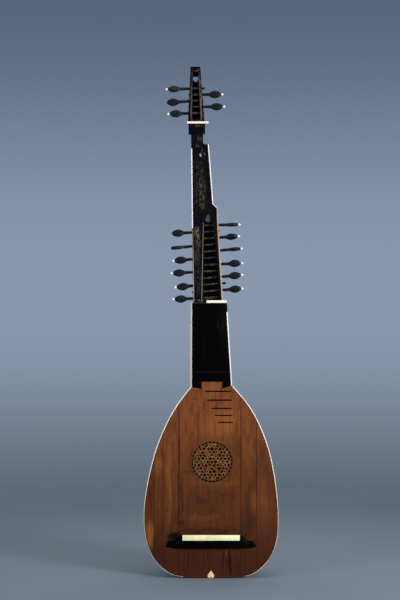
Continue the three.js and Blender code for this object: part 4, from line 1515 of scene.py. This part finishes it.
@dataclass
class Soundboard:
    """The soundboard with its ivory binding and the heart at the tail.

    Attributes:
        binding: width of the binding where it is widest, towards the neck.
        binding_low: its width at the tail.
        binding_share: share of the body's length at which it is widest.
        binding_arris: width of the bevel on its arrises.
        line: width of the dark line inside it.
        line_proud: how far this line stands out of the front.
        line_depth: how deep it is let in.
        bare_bass: distance from the centre line where the bass binding stops at the tail.
        bare_treble: the same on the treble side.
        corner_drop: how far the bass point's outer corner lies under the joint.
        outline_steps: steps along each half of the board's outline.
        spacing: greatest distance between two points of that outline.
        heart_proud: how far the heart stands out of the front.
        heart_depth: how deep it is let in.
        heart_arris: width of the bevel on its arrises.
        edge_steps: faces along a binding.
        rose: the rose in it.
    """

    binding: float = 2.6 * MM
    binding_low: float = 1.3 * MM
    binding_share: float = 0.7
    binding_arris: float = 0.25 * MM
    line: float = 1.5 * MM
    line_proud: float = 0.08 * MM
    line_depth: float = 0.3 * MM
    bare_bass: float = 75 * MM
    bare_treble: float = 86 * MM
    corner_drop: float = 4.6 * MM
    outline_steps: int = 200
    spacing: float = 4 * MM
    heart_proud: float = 0.15 * MM
    heart_depth: float = 1 * MM
    heart_arris: float = 0.12 * MM
    edge_steps: int = 150
    rose: Rose = Rose()

    def start(self, side: Side) -> float:
        """Gives the share of the edge where the binding of one side starts."""
        return BODY.share_at(self.bare_bass if side is Side.BASS else self.bare_treble)

    def inset(self, u: float, side: Side) -> float:
        """Gives the width of the binding at a share of the edge."""
        height = BODY.front(u, side, 0)[1] / (self.binding_share * BODY.length)
        return mix(self.binding_low, self.binding, min(height, 1))

    def half(self, side: Side) -> list[tuple[float, float]]:
        """Gives half of the board's outline from the tail up, set in where it is bound.

        Args:
            side: the half's side.

        Returns:
            Points from the centre line and the tail.
        """
        start = self.start(side)
        shares = [i / self.outline_steps for i in range(self.outline_steps + 1)]
        return [BODY.front(u, side, self.inset(u, side) if u > start else 0) for u in shares]

    def outline(self) -> list[tuple[float, float]]:
        """Works out the board's whole outline, with the tongue at the neck.

        Returns:
            Points from the centre line and the tail, up the treble side and down the bass side.
        """
        bass_low, bass_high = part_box("fingerboard_point_bass")
        treble_low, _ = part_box("fingerboard_point_treble")
        top = bass_high.z - TAIL
        tongue = [
            (treble_low.x - CENTRE, treble_low.z - TAIL),
            (treble_low.x - CENTRE, top),
            (bass_high.x - CENTRE, top),
            (bass_high.x - CENTRE, bass_low.z - TAIL),
        ]
        bass = [p for p in self.half(Side.BASS) if p[1] < BODY.length - self.corner_drop]
        points = self.half(Side.TREBLE) + tongue + bass[:0:-1]
        dense = []
        for start, end in zip(points, points[1:] + points[:1]):
            steps = max(math.ceil(math.dist(start, end) / self.spacing), 1)
            dense += [(mix(start[0], end[0], i / steps), mix(start[1], end[1], i / steps))
                      for i in range(steps)]
        return dense

    def panel(self) -> BMesh:
        """Models the board with the round opening of the rose.

        Returns:
            The board.
        """
        outline = [(CENTRE + x, TAIL + z) for x, z in self.outline()]
        middle = (CENTRE + self.rose.lean, TAIL + self.rose.middle)
        hole = []
        for point in outline:
            share = self.rose.radius / math.dist(point, middle)
            hole.append(tuple(mix(m, p, share) for m, p in zip(middle, point)))
        return plate(outline, FRONT, BOARD_BACK, hole)

    def edging(self, side: Side, inset: Callable[[float, float], float], top: float,
               bottom: float) -> BMesh:
        """Models a strip along one side of the board.

        Args:
            side: the side.
            inset: gives the distance from the edge for the binding's width there and a share
                across the strip.
            top: depth of its front.
            bottom: depth of its back.

        Returns:
            The strip.
        """
        start = self.start(side)

        def surface(along: float, across: float, depth: float) -> Vector:
            """Gives a point of the strip, along and in from the edge."""
            u = mix(start, 1, along)
            x, z = BODY.front(u, side, inset(self.inset(u, side), across))
            return Vector((CENTRE + x, depth, TAIL + z))
        return slab(self.edge_steps, 1, surface, top, bottom)

    def binding_strip(self, side: Side) -> BMesh:
        """Models the binding on one side, with its arrises rounded.

        Args:
            side: the side.

        Returns:
            The binding.
        """
        bm = self.edging(side, lambda width, across: width * across, FRONT, BOARD_BACK)
        bevel_arrises(bm, self.binding_arris)
        return bm

    def purfling(self, side: Side) -> BMesh:
        """Models the thin dark line that lies along the inner edge of a binding."""
        return self.edging(side, lambda width, across: width + self.line * across,
                           FRONT - self.line_proud, FRONT + self.line_depth)

    def heart(self) -> BMesh:
        """Models the heart, point up, with smooth lobes.

        Returns:
            The heart.
        """
        low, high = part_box("heart_inlay")
        width, height = high.x - low.x, high.z - low.z
        half = [spline(HEART_HALF, i / HEART_STEPS) for i in range(HEART_STEPS + 1)]
        points = half + [(-x, z) for x, z in half[-2:0:-1]]
        middle = CENTRE - HEART_LEAN
        outline = [(middle + x * width, low.z + max(z, 0) * height) for x, z in points]
        bm = plate(outline, FRONT - self.heart_proud, FRONT + self.heart_depth)
        bevel_arrises(bm, self.heart_arris)
        return bm

    def build(self) -> None:
        """Builds the board, the rose, the bindings and the heart."""
        settle(self.panel(), "soundboard_panel", SOUNDBOARD, ["soundboard"])
        self.rose.build()
        for side in Side:
            settle(self.binding_strip(side), f"binding_strip_{side.value}", BINDING_IVORY,
                   [f"binding_{side.value}"])
        for side in Side:
            settle(self.purfling(side), f"purfling_{side.value}", DARK_LINE)
        settle(self.heart(), "heart_cut", HEART_IVORY, ["heart_inlay"])


@dataclass
class Bridge:
    """The bridge with its thin carved ends and the two lengths of its ivory plate.

    Attributes:
        tip_thickness: thickness of the carved ends at their tips.
        cuts: lines across each carved end, at which it bends.
        first_cut: place of the first of them, as a share of the distance between two.
        arris: width of the bevel on the bar's arrises.
        joint: place of the joint in the plate, from the centre line.
        joint_width: width of that joint.
        ridge: how far the middle of the plate's face stands out.
        plate_arris: width of the bevel on the plate's arrises.
    """

    tip_thickness: float = 3.5 * MM
    cuts: int = 5
    first_cut: float = 0.3
    arris: float = 0.5 * MM
    joint: float = -11.6 * MM
    joint_width: float = 0.1 * MM
    ridge: float = 0.35 * MM
    plate_arris: float = 0.3 * MM

    def bar(self) -> BMesh:
        """Models the bar from its CAD copy, thinned towards both tips.

        Returns:
            The bar.
        """
        low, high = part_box("bridge")
        plate_low, plate_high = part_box("bridge_plate")
        bm = copied("bridge")
        for edge_x, tip_x in ((plate_low.x, low.x), (plate_high.x, high.x)):
            for i in range(self.cuts):
                share = (i + self.first_cut) / self.cuts
                cut(bm, (mix(edge_x, tip_x, share), 0, 0), (1, 0, 0))
            for vert in bm.verts:
                share = (vert.co.x - edge_x) / (tip_x - edge_x)
                if share > 0 and vert.co.y < low.y + NEAR:
                    eased = 1 - (1 - min(share, 1)) ** 2
                    vert.co.y = mix(low.y, high.y - self.tip_thickness, eased)
        bevel_arrises(bm, self.arris)
        return bm

    def length_of_plate(self, start: float, end: float) -> BMesh:
        """Models one length of the ivory plate with a low ridge along its middle.

        Args:
            start: its first end.
            end: its second end.

        Returns:
            The length.
        """
        low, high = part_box("bridge_plate")

        def surface(along: float, across: float, depth: float) -> Vector:
            """Gives a point of the length, whose front falls off from its ridge."""
            fall = self.ridge * abs(2 * across - 1) if depth == low.y else 0
            return Vector((mix(start, end, along), depth + fall, mix(low.z, high.z, across)))
        bm = slab(1, 2, surface, low.y, high.y)
        bevel_arrises(bm, self.plate_arris)
        return bm

    def build(self) -> None:
        """Builds the bar and both lengths of the plate."""
        settle(self.bar(), "bridge_bar_carved", BRIDGE_EBONY, ["bridge"])
        low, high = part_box("bridge_plate")
        joint, gap = CENTRE + self.joint, self.joint_width / 2
        settle(self.length_of_plate(low.x, joint - gap), "bridge_plate_bass_length",
               PLATE_IVORY_BASS, ["bridge_plate"])
        settle(self.length_of_plate(joint + gap, high.x), "bridge_plate_treble_length",
               PLATE_IVORY, ["bridge_plate"])


@dataclass
class Nut:
    """An ivory nut with a groove for each string.

    Attributes:
        node: the CAD piece that it stands for.
        grooves: number of grooves.
        groove_depth: how deep a groove is cut in the front edge.
        groove_pitch: faces from one groove to the next.
        steps: faces across it.
        crown: how far the front falls off to both sides.
    """

    node: str
    grooves: int
    groove_depth: float = 0.4 * MM
    groove_pitch: int = 4
    steps: int = 6
    crown: float = 0.9 * MM

    def build(self) -> None:
        """Builds the nut: a rounded bar whose front is cut at each string."""
        low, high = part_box(self.node)
        faces = self.groove_pitch * (self.grooves + 1)

        def surface(along: float, across: float, depth: float) -> Vector:
            """Gives a point of the nut, whose front is grooved and rounded."""
            if depth == low.y:
                grooved = round(along * faces) % self.groove_pitch == 0 and 0 < along < 1
                depth += self.groove_depth * grooved + self.crown * (2 * across - 1) ** 4
            return Vector((mix(low.x, high.x, along), depth, mix(low.z, high.z, across)))
        bm = slab(faces, self.steps, surface, low.y, high.y)
        settle(bm, f"{self.node}_grooved", IVORY, [self.node])


@dataclass
class Neck:
    """The neck with its fingerboard, edging, points and glued frets.

    Attributes:
        edge_radius: width of the bevel on the worn arrises.
        fret_radius: the same on the frets.
        steps: faces along the neck and round its back.
        frets: the glued frets, by the semitones that they give.
    """

    edge_radius: float = 0.3 * MM
    fret_radius: float = 0.45 * MM
    steps: tuple[int, int] = (24, 40)
    frets: tuple[int, ...] = (8, 9, 10, 11, 12)

    def handle(self) -> BMesh:
        """Models the neck: flat under the fingerboard and round at the back.

        Returns:
            The neck.
        """
        low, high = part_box("neck")
        ends = []
        for height in (low.z, high.z):
            ring = [v.co for v in frame["nodes"]["neck"].data.vertices
                    if abs(v.co.z - height) < NEAR]
            bass, treble = min(p.x for p in ring), max(p.x for p in ring)
            depth = max(p.y for p in ring) - min(p.y for p in ring)
            ends.append((height, (treble - bass) / 2, (treble + bass) / 2, depth))

        def surface(along: float, across: float, bulge: float) -> Vector:
            """Gives a point of the neck's flat front or, with a bulge of 1, of its back."""
            height, half, middle, depth = (mix(a, b, along) for a, b in zip(*ends))
            turn = math.pi * across
            return Vector((middle + half * math.cos(turn),
                           low.y + bulge * depth * math.sin(turn), height))
        return slab(*self.steps, surface, 0, 1)

    def build(self) -> None:
        """Builds the neck and softens what lies on it."""
        settle(self.handle(), "neck_handle", EBONY, ["neck"])
        for node in ("fingerboard", "fingerboard_point_bass", "fingerboard_point_treble"):
            settle(softened(node, self.edge_radius), f"{node}_veneer", FINGERBOARD_EBONY, [node])
        for side, finish in ((Side.BASS, GREY_IVORY), (Side.TREBLE, IVORY)):
            node = f"neck_edging_{side.value}"
            settle(softened(node, self.edge_radius), f"{node}_strip", finish, [node])
        for number in self.frets:
            node = f"fret_{number:02d}"
            settle(softened(node, self.fret_radius), f"{node}_rounded", FRET_WOOD, [node])
        Nut("lower_nut", grooves=12).build()


# Edges of the peg holes are shorter than this and stay sharp
HOLE_EDGE = 7 * MM


@dataclass(frozen=True)
class Channel:
    """The place of a pegbox's channel, from the centre line and the tail, in millimetres.

    Attributes:
        foot: height of its foot and the places of its bass and treble walls there.
        top: the same at its top.
        lip: depth under the front from which it gets painted shade.
    """

    foot: tuple[float, float, float]
    top: tuple[float, float, float]
    lip: float = 2.0

    def shade(self, bm: BMesh) -> None:
        """Marks the vertices that lie down in the channel, where shade is painted.

        Args:
            bm: the pegbox, which gets the attribute "sunk".
        """
        sunk = bm.verts.layers.float.new("sunk")
        front = min(vert.co.y for vert in bm.verts)
        (foot, *foot_walls), (top, *top_walls) = self.foot, self.top
        for vert in bm.verts:
            height = (vert.co.z - TAIL) / MM
            share = (height - foot) / (top - foot)
            bass, treble = (mix(a, b, share) for a, b in zip(foot_walls, top_walls))
            inside = bass <= (vert.co.x - CENTRE) / MM <= treble and 0 <= share <= 1
            vert[sunk] = float(inside and vert.co.y > front + self.lip * MM)


@dataclass(frozen=True)
class Strip:
    """A straight strip let into the front of the extension.

    Attributes:
        name: its name.
        finish: its finish.
        foot: middle of its foot from the centre line and the tail, in millimetres.
        top: middle of its top.
        width: its width.
        proud: how far it stands out.
        depth: how deep it is let in.
        steps: faces along it.
    """

    name: str
    finish: Finish
    foot: tuple[float, float]
    top: tuple[float, float]
    width: float
    proud: float = 0.15 * MM
    depth: float = 1 * MM
    steps: int = 8

    def build(self) -> None:
        """Builds the strip."""
        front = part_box("extension")[0].y

        def surface(along: float, across: float, depth: float) -> Vector:
            """Gives a point on the straight way from the foot to the top."""
            x, z = (mix(a, b, along) * MM for a, b in zip(self.foot, self.top))
            return Vector((CENTRE + x + (across - 0.5) * self.width, depth, TAIL + z))
        bm = slab(self.steps, 1, surface, front - self.proud, front + self.depth)
        settle(bm, self.name, self.finish)


@dataclass
class Extension:
    """The extension with the lower pegbox, its edging and the strips let into its front.

    Attributes:
        edge_radius: width of the bevel on the worn arrises.
        edging_radius: the same on the edgings.
        channel: the lower pegbox's channel.
        strips: the inlaid line, the worn bass arris and the treble arris under the collar.
    """

    edge_radius: float = 0.6 * MM
    edging_radius: float = 0.4 * MM
    channel: Channel = Channel((736, -22.2, 25.4), (939.5, -18.4, 6.4))
    strips: tuple[Strip, ...] = (
        Strip("pegbox_line", LINE_WOOD, (-25.6, 728.5), (-21.2, 938), 1.7 * MM),
        Strip("pegbox_bass_arris", WORN_ARRIS, (-46.4, 728.5), (-49.3, 920), 2.4 * MM),
        Strip("stub_arris", STUB_ARRIS, (-20.4, 1147.5), (-20.6, 1173), 2.6 * MM),
    )

    def build(self) -> None:
        """Builds the beam, the edgings and the strips."""
        beam = softened("extension", self.edge_radius, HOLE_EDGE)
        self.channel.shade(beam)
        settle(beam, "extension_beam", STAINED_WOOD, ["extension"])
        for node, finish in (
            ("extension_edging_bass", WHITE_IVORY), ("extension_edging_treble", WHITE_IVORY),
            ("pegbox_edging_treble", BONE),
        ):
            settle(softened(node, self.edging_radius), f"{node}_strip", finish, [node])
        for strip in self.strips:
            strip.build()


@dataclass
class Head:
    """The collar, the upper nut and the upper pegbox.

    Attributes:
        edge_radius: width of the bevel on the worn arrises.
        collar_radius: the same on the collar.
        channel: the upper pegbox's channel.
    """

    edge_radius: float = 0.5 * MM
    collar_radius: float = 0.35 * MM
    channel: Channel = Channel((1211, -54.2, -26.2), (1339, -49.6, -32.6))

    def build(self) -> None:
        """Builds the three pieces."""
        settle(softened("collar", self.collar_radius), "collar_moulding", STAINED_WOOD,
               ["collar"])
        box = softened("upper_pegbox", self.edge_radius, HOLE_EDGE)
        self.channel.shade(box)
        settle(box, "upper_pegbox_cut", HEAD_WOOD, ["upper_pegbox"])
        Nut("upper_nut", grooves=5).build()


# Outlines of a peg, as distance and radius of each station in millimetres: from the end of its
# tip, from the cheek, and its pip's from the end of the head
TIP_PROFILE = ((0, 0), (0, 2.4), (0.6, 3.0), (12, 3.0), (15, 2.7))
CHEEK_PROFILE = ((-8, 2.8), (-5, 3.4), (0, 3.6))
PIP_PROFILE = (
    (-0.8, 0), (-0.8, 1.2), (0.6, 1.3), (1.5, 2.56), (2.9, 3.2), (4.6, 2.88), (5.8, 1.6),
    (6.6, 0.3), (6.6, 0),
)


def shifted(profile: Sequence[tuple[float, float]], start: float) -> list[tuple[float, float]]:
    """Gives a profile's stations in metres, counted from a distance along the axis."""
    return [(start + distance * MM, radius * MM) for distance, radius in profile]


@dataclass(frozen=True)
class PegFit:
    """The place and the measures of a peg, read from its CAD piece.

    Attributes:
        place: its own frame, with Z out along its axis from the cheek and X along the head's
            width.
        tip: distance of its tip from the cheek, below 0.
        start: distance of the head's start.
        end: distance of the head's end.
        half_width: half the head's width.
        half_depth: half its depth.
        has_pip: whether it has a pip.
    """

    place: Matrix
    tip: float
    start: float
    end: float
    half_width: float
    half_depth: float
    has_pip: bool


@dataclass
class Peg:
    """One turned peg with its flat head and, on most, an ivory pip.

    Attributes:
        name: the peg's node and body.
        foot: where its axis leaves the pegbox's cheek.
        axis: the way from the cheek to the head.
        head_length: length of the flat head.
        neck: radius under the head.
        ring: radius of the two rings turned on the neck.
        ring_share: place of the ring nearer to the cheek, as a share of the neck's length.
        ring_gap: least distance of that ring from the head.
        last_gap: distance of the other ring from the head.
        ring_halves: half the width of each ring where it stands on the neck, and on top.
        stations: stations along the head's outline.
        swell_powers: powers of the head's swell at its start and its end. Above 1 it swells
            slowly out of the neck, and under 1 it ends bluntly.
        flat_power: the same for how the head flattens.
        hollow: how far the middle of the head's faces is hollowed, as a share of its depth.
        hollow_share: half the hollow's width, as a share of half the head's.
        rubbed: bare part of the shank, by its distances from the tip and from the cheek.
        steps: faces round the peg and round its pip.
    """

    name: str
    foot: Vector
    axis: Vector
    head_length: float = 33.5 * MM
    neck: float = 3.75 * MM
    ring: float = 4.4 * MM
    ring_share: float = 0.62
    ring_gap: float = 6.5 * MM
    last_gap: float = 3.2 * MM
    ring_halves: tuple[tuple[float, float], ...] = ((1.1 * MM, 0.5 * MM), (1.4 * MM, 0.6 * MM))
    stations: int = 18
    swell_powers: tuple[float, float] = (1.15, 0.5)
    flat_power: float = 0.6
    hollow: float = 0.14
    hollow_share: float = 0.5
    rubbed: tuple[float, float] = (14 * MM, -5 * MM)
    steps: tuple[int, int] = (28, 20)

    def measure(self) -> PegFit:
        """Reads the peg's turn and lengths from its CAD piece.

        Returns:
            Its place and its measures.
        """
        distances, offsets = [], []
        for vert in frame["nodes"][self.name].data.vertices:
            away = vert.co - self.foot
            distances.append(away.dot(self.axis))
            offsets.append(away - self.axis * distances[-1])
        widest = max(range(len(offsets)), key=lambda i: offsets[i].length)
        middle, half_width = distances[widest], offsets[widest].length
        width_way = offsets[widest].normalized()
        depth_way = self.axis.cross(width_way)
        half_depth = max(abs(offset.dot(depth_way)) for offset, d in zip(offsets, distances)
                         if abs(d - middle) < MM)
        turn = Matrix((width_way, depth_way, self.axis)).transposed().to_4x4()
        start, end = middle - self.head_length / 2, middle + self.head_length / 2
        return PegFit(Matrix.Translation(self.foot) @ turn, min(distances), start, end,
                      half_width, half_depth, max(distances) > end + MM)

    def outline(self, fit: PegFit) -> list[tuple[float, float]]:
        """Gives the outline that the peg is turned to before its head is flattened.

        Args:
            fit: the peg's measures.

        Returns:
            Distance and radius of each station, from the tip to the end of the head.
        """
        points = shifted(TIP_PROFILE, fit.tip) + shifted(CHEEK_PROFILE, 0)
        first = min(self.ring_share * fit.start, fit.start - self.ring_gap)
        last = fit.start - self.last_gap
        for middle, (foot, top) in zip((first, last), self.ring_halves):
            points += [(middle - foot, self.neck), (middle - top, self.ring),
                       (middle + top, self.ring), (middle + foot, self.neck)]
        for i in range(1, self.stations):
            share = i / self.stations
            swell = math.sin(math.pi * share) ** mix(*self.swell_powers, share)
            root = mix(self.neck, MM, share)
            points.append((mix(fit.start, fit.end, share), mix(root, fit.half_width, swell)))
        return points + [(fit.end, self.neck / 2), (fit.end, 0)]

    def carve(self, bm: BMesh, fit: PegFit) -> None:
        """Flattens and hollows the head, and marks the bare part of the shank.

        Args:
            bm: the turned peg along Z, which gets the attribute "rubbed".
            fit: the peg's measures.
        """
        rubbed = bm.verts.layers.float.new("rubbed")
        low, high = fit.tip + self.rubbed[0], self.rubbed[1]
        for vert in bm.verts:
            vert[rubbed] = float(low < vert.co.z < high)
            if vert.co.z > fit.start:
                share = (vert.co.z - fit.start) / self.head_length
                swell = max(math.sin(math.pi * share), 0)
                flat = mix(1, fit.half_depth / fit.half_width, swell ** self.flat_power)
                near = math.exp(-(vert.co.x / (self.hollow_share * fit.half_width)) ** 2)
                vert.co.y *= flat * (1 - self.hollow * swell * near)

    def build(self) -> None:
        """Builds the peg and its pip."""
        fit = self.measure()
        bm = turned(self.outline(fit), self.steps[0])
        self.carve(bm, fit)
        bmesh.ops.transform(bm, matrix=fit.place, verts=bm.verts[:])
        settle(bm, f"{self.name}_turned", PEG_WOOD, [self.name], self.name)
        if fit.has_pip:
            pip = turned(shifted(PIP_PROFILE, fit.end), self.steps[1])
            bmesh.ops.transform(pip, matrix=fit.place, verts=pip.verts[:])
            settle(pip, f"{self.name}_pip", PIP_IVORY, body=self.name)


@dataclass(frozen=True)
class Lamp:
    """One soft square lamp that faces the middle of the instrument.

    Attributes:
        name: its name.
        place: where it stands, from the point that the camera aims at.
        size: length of its sides.
        power: its power in watts.
    """

    name: str
    place: tuple[float, float, float]
    size: float
    power: float

    def build(self, aim: Vector) -> None:
        """Adds the lamp.

        Args:
            aim: the point that the camera aims at, which the lamp faces too.
        """
        data = bpy.data.lights.new(self.name, "AREA")
        data.size = self.size
        data.energy = self.power
        lamp = add_object(self.name, data)
        away = Vector(self.place)
        lamp.location = aim + away
        lamp.rotation_euler = (-away).to_track_quat("-Z", "Y").to_euler()


@dataclass
class Studio:
    """The plain floor, the soft lights and the camera.

    Attributes:
        view_height: height of the photograph's frame at the instrument's front, 600 rows of
            2.64 mm.
        distance: distance from the camera to the front.
        across: middle of the frame, from the centre line.
        height: middle of the frame above the tail.
        pale: colour of the background level with the camera.
        shade_bands: its darker colours, painted shade high up, low down behind the floor and below
        the floor's near edge, each after the slopes of the view where it begins and where it is
        full.
        soft: strength of the even light from all around.
        ground: colour of the floor.
        floor_radius: radius of the floor.
        floor_gap: how far it lies under the tail.
        fade: distances from the instrument between which the floor fades away.
        lamps: the lamps.
    """

    view_height: float = 600 * 2.64 * MM
    distance: float = 4.0
    across: float = -30.1 * MM
    height: float = 733.9 * MM
    pale: str = "#8997ad"
    shade_bands: tuple[tuple[float, float, str], ...] = (
        (0.02, 0.2, "#57657a"), (-0.01, -0.15, "#57636c"), (-0.16, -0.22, "#68737c"))
    soft: float = 0.42
    ground: str = "#75808b"
    floor_radius: float = 2.2
    floor_gap: float = 1 * MM
    fade: tuple[float, float] = (0.3, 1.9)
    lamps: tuple[Lamp, ...] = (
        Lamp("key", (2.1, -2.1, 0.3), 0.7, 78),
        Lamp("fill", (-2.2, -2.4, 0.6), 1.6, 24),
        Lamp("top", (0.3, -0.6, 2.4), 1.4, 16),
        Lamp("back_right", (1.8, 2.4, 0.7), 1.4, 22),
        Lamp("back_left", (-2.0, 2.2, 0.4), 1.4, 16),
    )

    @property
    def aim(self) -> Vector:
        """The point of the instrument's front in the middle of the frame."""
        return Vector((CENTRE + self.across, FRONT, TAIL + self.height))

    def camera(self) -> None:
        """Places the camera square to the front, as the photograph was taken."""
        data = bpy.data.cameras.new("camera")
        data.sensor_width = 36
        data.lens = data.sensor_width * self.distance / self.view_height
        data.clip_end = 50
        camera = add_object("camera", data)
        camera.location = self.aim - Vector((0, self.distance, 0))
        camera.rotation_euler = (math.pi / 2, 0, 0)
        bpy.context.scene.camera = camera

    def world(self) -> None:
        """Lights the scene evenly and shows a pale background with painted shade in darker bands
        high and low.
        """
        world = bpy.data.worlds.new("studio")
        bpy.context.scene.world = world
        tree = empty_tree(world)
        rays = add_node(tree, "LightPath").outputs
        seen = rays["Is Camera Ray"]
        for other in ("Is Glossy Ray", "Is Transmission Ray"):
            seen = add_node(
                tree, "Math", {0: seen, 1: rays[other]}, operation="MAXIMUM").outputs[0]
        soft = add_node(tree, "Background", {"Color": linear("#ffffff"), "Strength": self.soft})
        way = add_node(tree, "SeparateXYZ", {0: add_node(tree, "TexCoord").outputs["Generated"]})
        tone = layered(tree, linear(self.pale), (
            (add_node(tree, "MapRange", {
                "Value": way.outputs["Z"], "From Min": start, "From Max": end,
            }, interpolation_type="SMOOTHSTEP").outputs[0], colour)
            for start, end, colour in self.shade_bands))
        plain = add_node(tree, "Background", {"Color": tone, "Strength": 1.0})
        both = add_node(tree, "MixShader", {
            0: seen, 1: soft.outputs[0], 2: plain.outputs[0],
        })
        add_node(tree, "OutputWorld", {"Surface": both.outputs[0]})

    def floor(self) -> None:
        """Lays a pale floor that fades into the background."""
        bm = bmesh.new()
        bmesh.ops.create_circle(bm, cap_ends=True, segments=96, radius=self.floor_radius)
        bmesh.ops.translate(bm, verts=bm.verts[:], vec=(CENTRE, 0, TAIL - self.floor_gap))
        mesh = as_mesh(bm, "floor")
        material = bpy.data.materials.new("plain floor")
        tree = empty_tree(material)
        place = add_node(tree, "TexCoord").outputs["Object"]
        middle = add_node(tree, "Mapping", {
            "Vector": place, "Location": (-CENTRE, 0.0, 0.0), "Scale": (1.0, 1.0, 0.0)})
        away = add_node(tree, "VectorMath", {0: middle.outputs[0]}, operation="LENGTH")
        fade = add_node(tree, "MapRange", {
            "Value": away.outputs["Value"], "From Min": self.fade[0], "From Max": self.fade[1],
        }, interpolation_type="SMOOTHSTEP")
        matt = add_node(tree, "BsdfDiffuse", {"Color": linear(self.ground)})
        clear = add_node(tree, "BsdfTransparent")
        both = add_node(tree, "MixShader", {
            0: fade.outputs[0], 1: matt.outputs[0], 2: clear.outputs[0]})
        add_node(tree, "OutputMaterial", {"Surface": both.outputs[0]})
        mesh.materials.append(material)
        floor = add_object("floor", mesh)

    def build(self) -> None:
        """Sets up the floor, the lights, the world and the camera."""
        self.floor()
        self.world()
        for lamp in self.lamps:
            lamp.build(self.aim)
        self.camera()
        bpy.context.scene.view_settings.view_transform = "Standard"


def main() -> None:
    """Builds the instrument's pieces and the studio."""
    logging.basicConfig(level=logging.INFO, format="%(name)s: %(message)s")
    Studio().build()
    Bowl().build()
    Soundboard().build()
    Bridge().build()
    Neck().build()
    Extension().build()
    Head().build()
    for joint in frame["joints"]:
        Peg(joint["child"], Vector(joint["pos_m"]), Vector(joint["axis"]).normalized()).build()


if __name__ == "__main__":
    main()
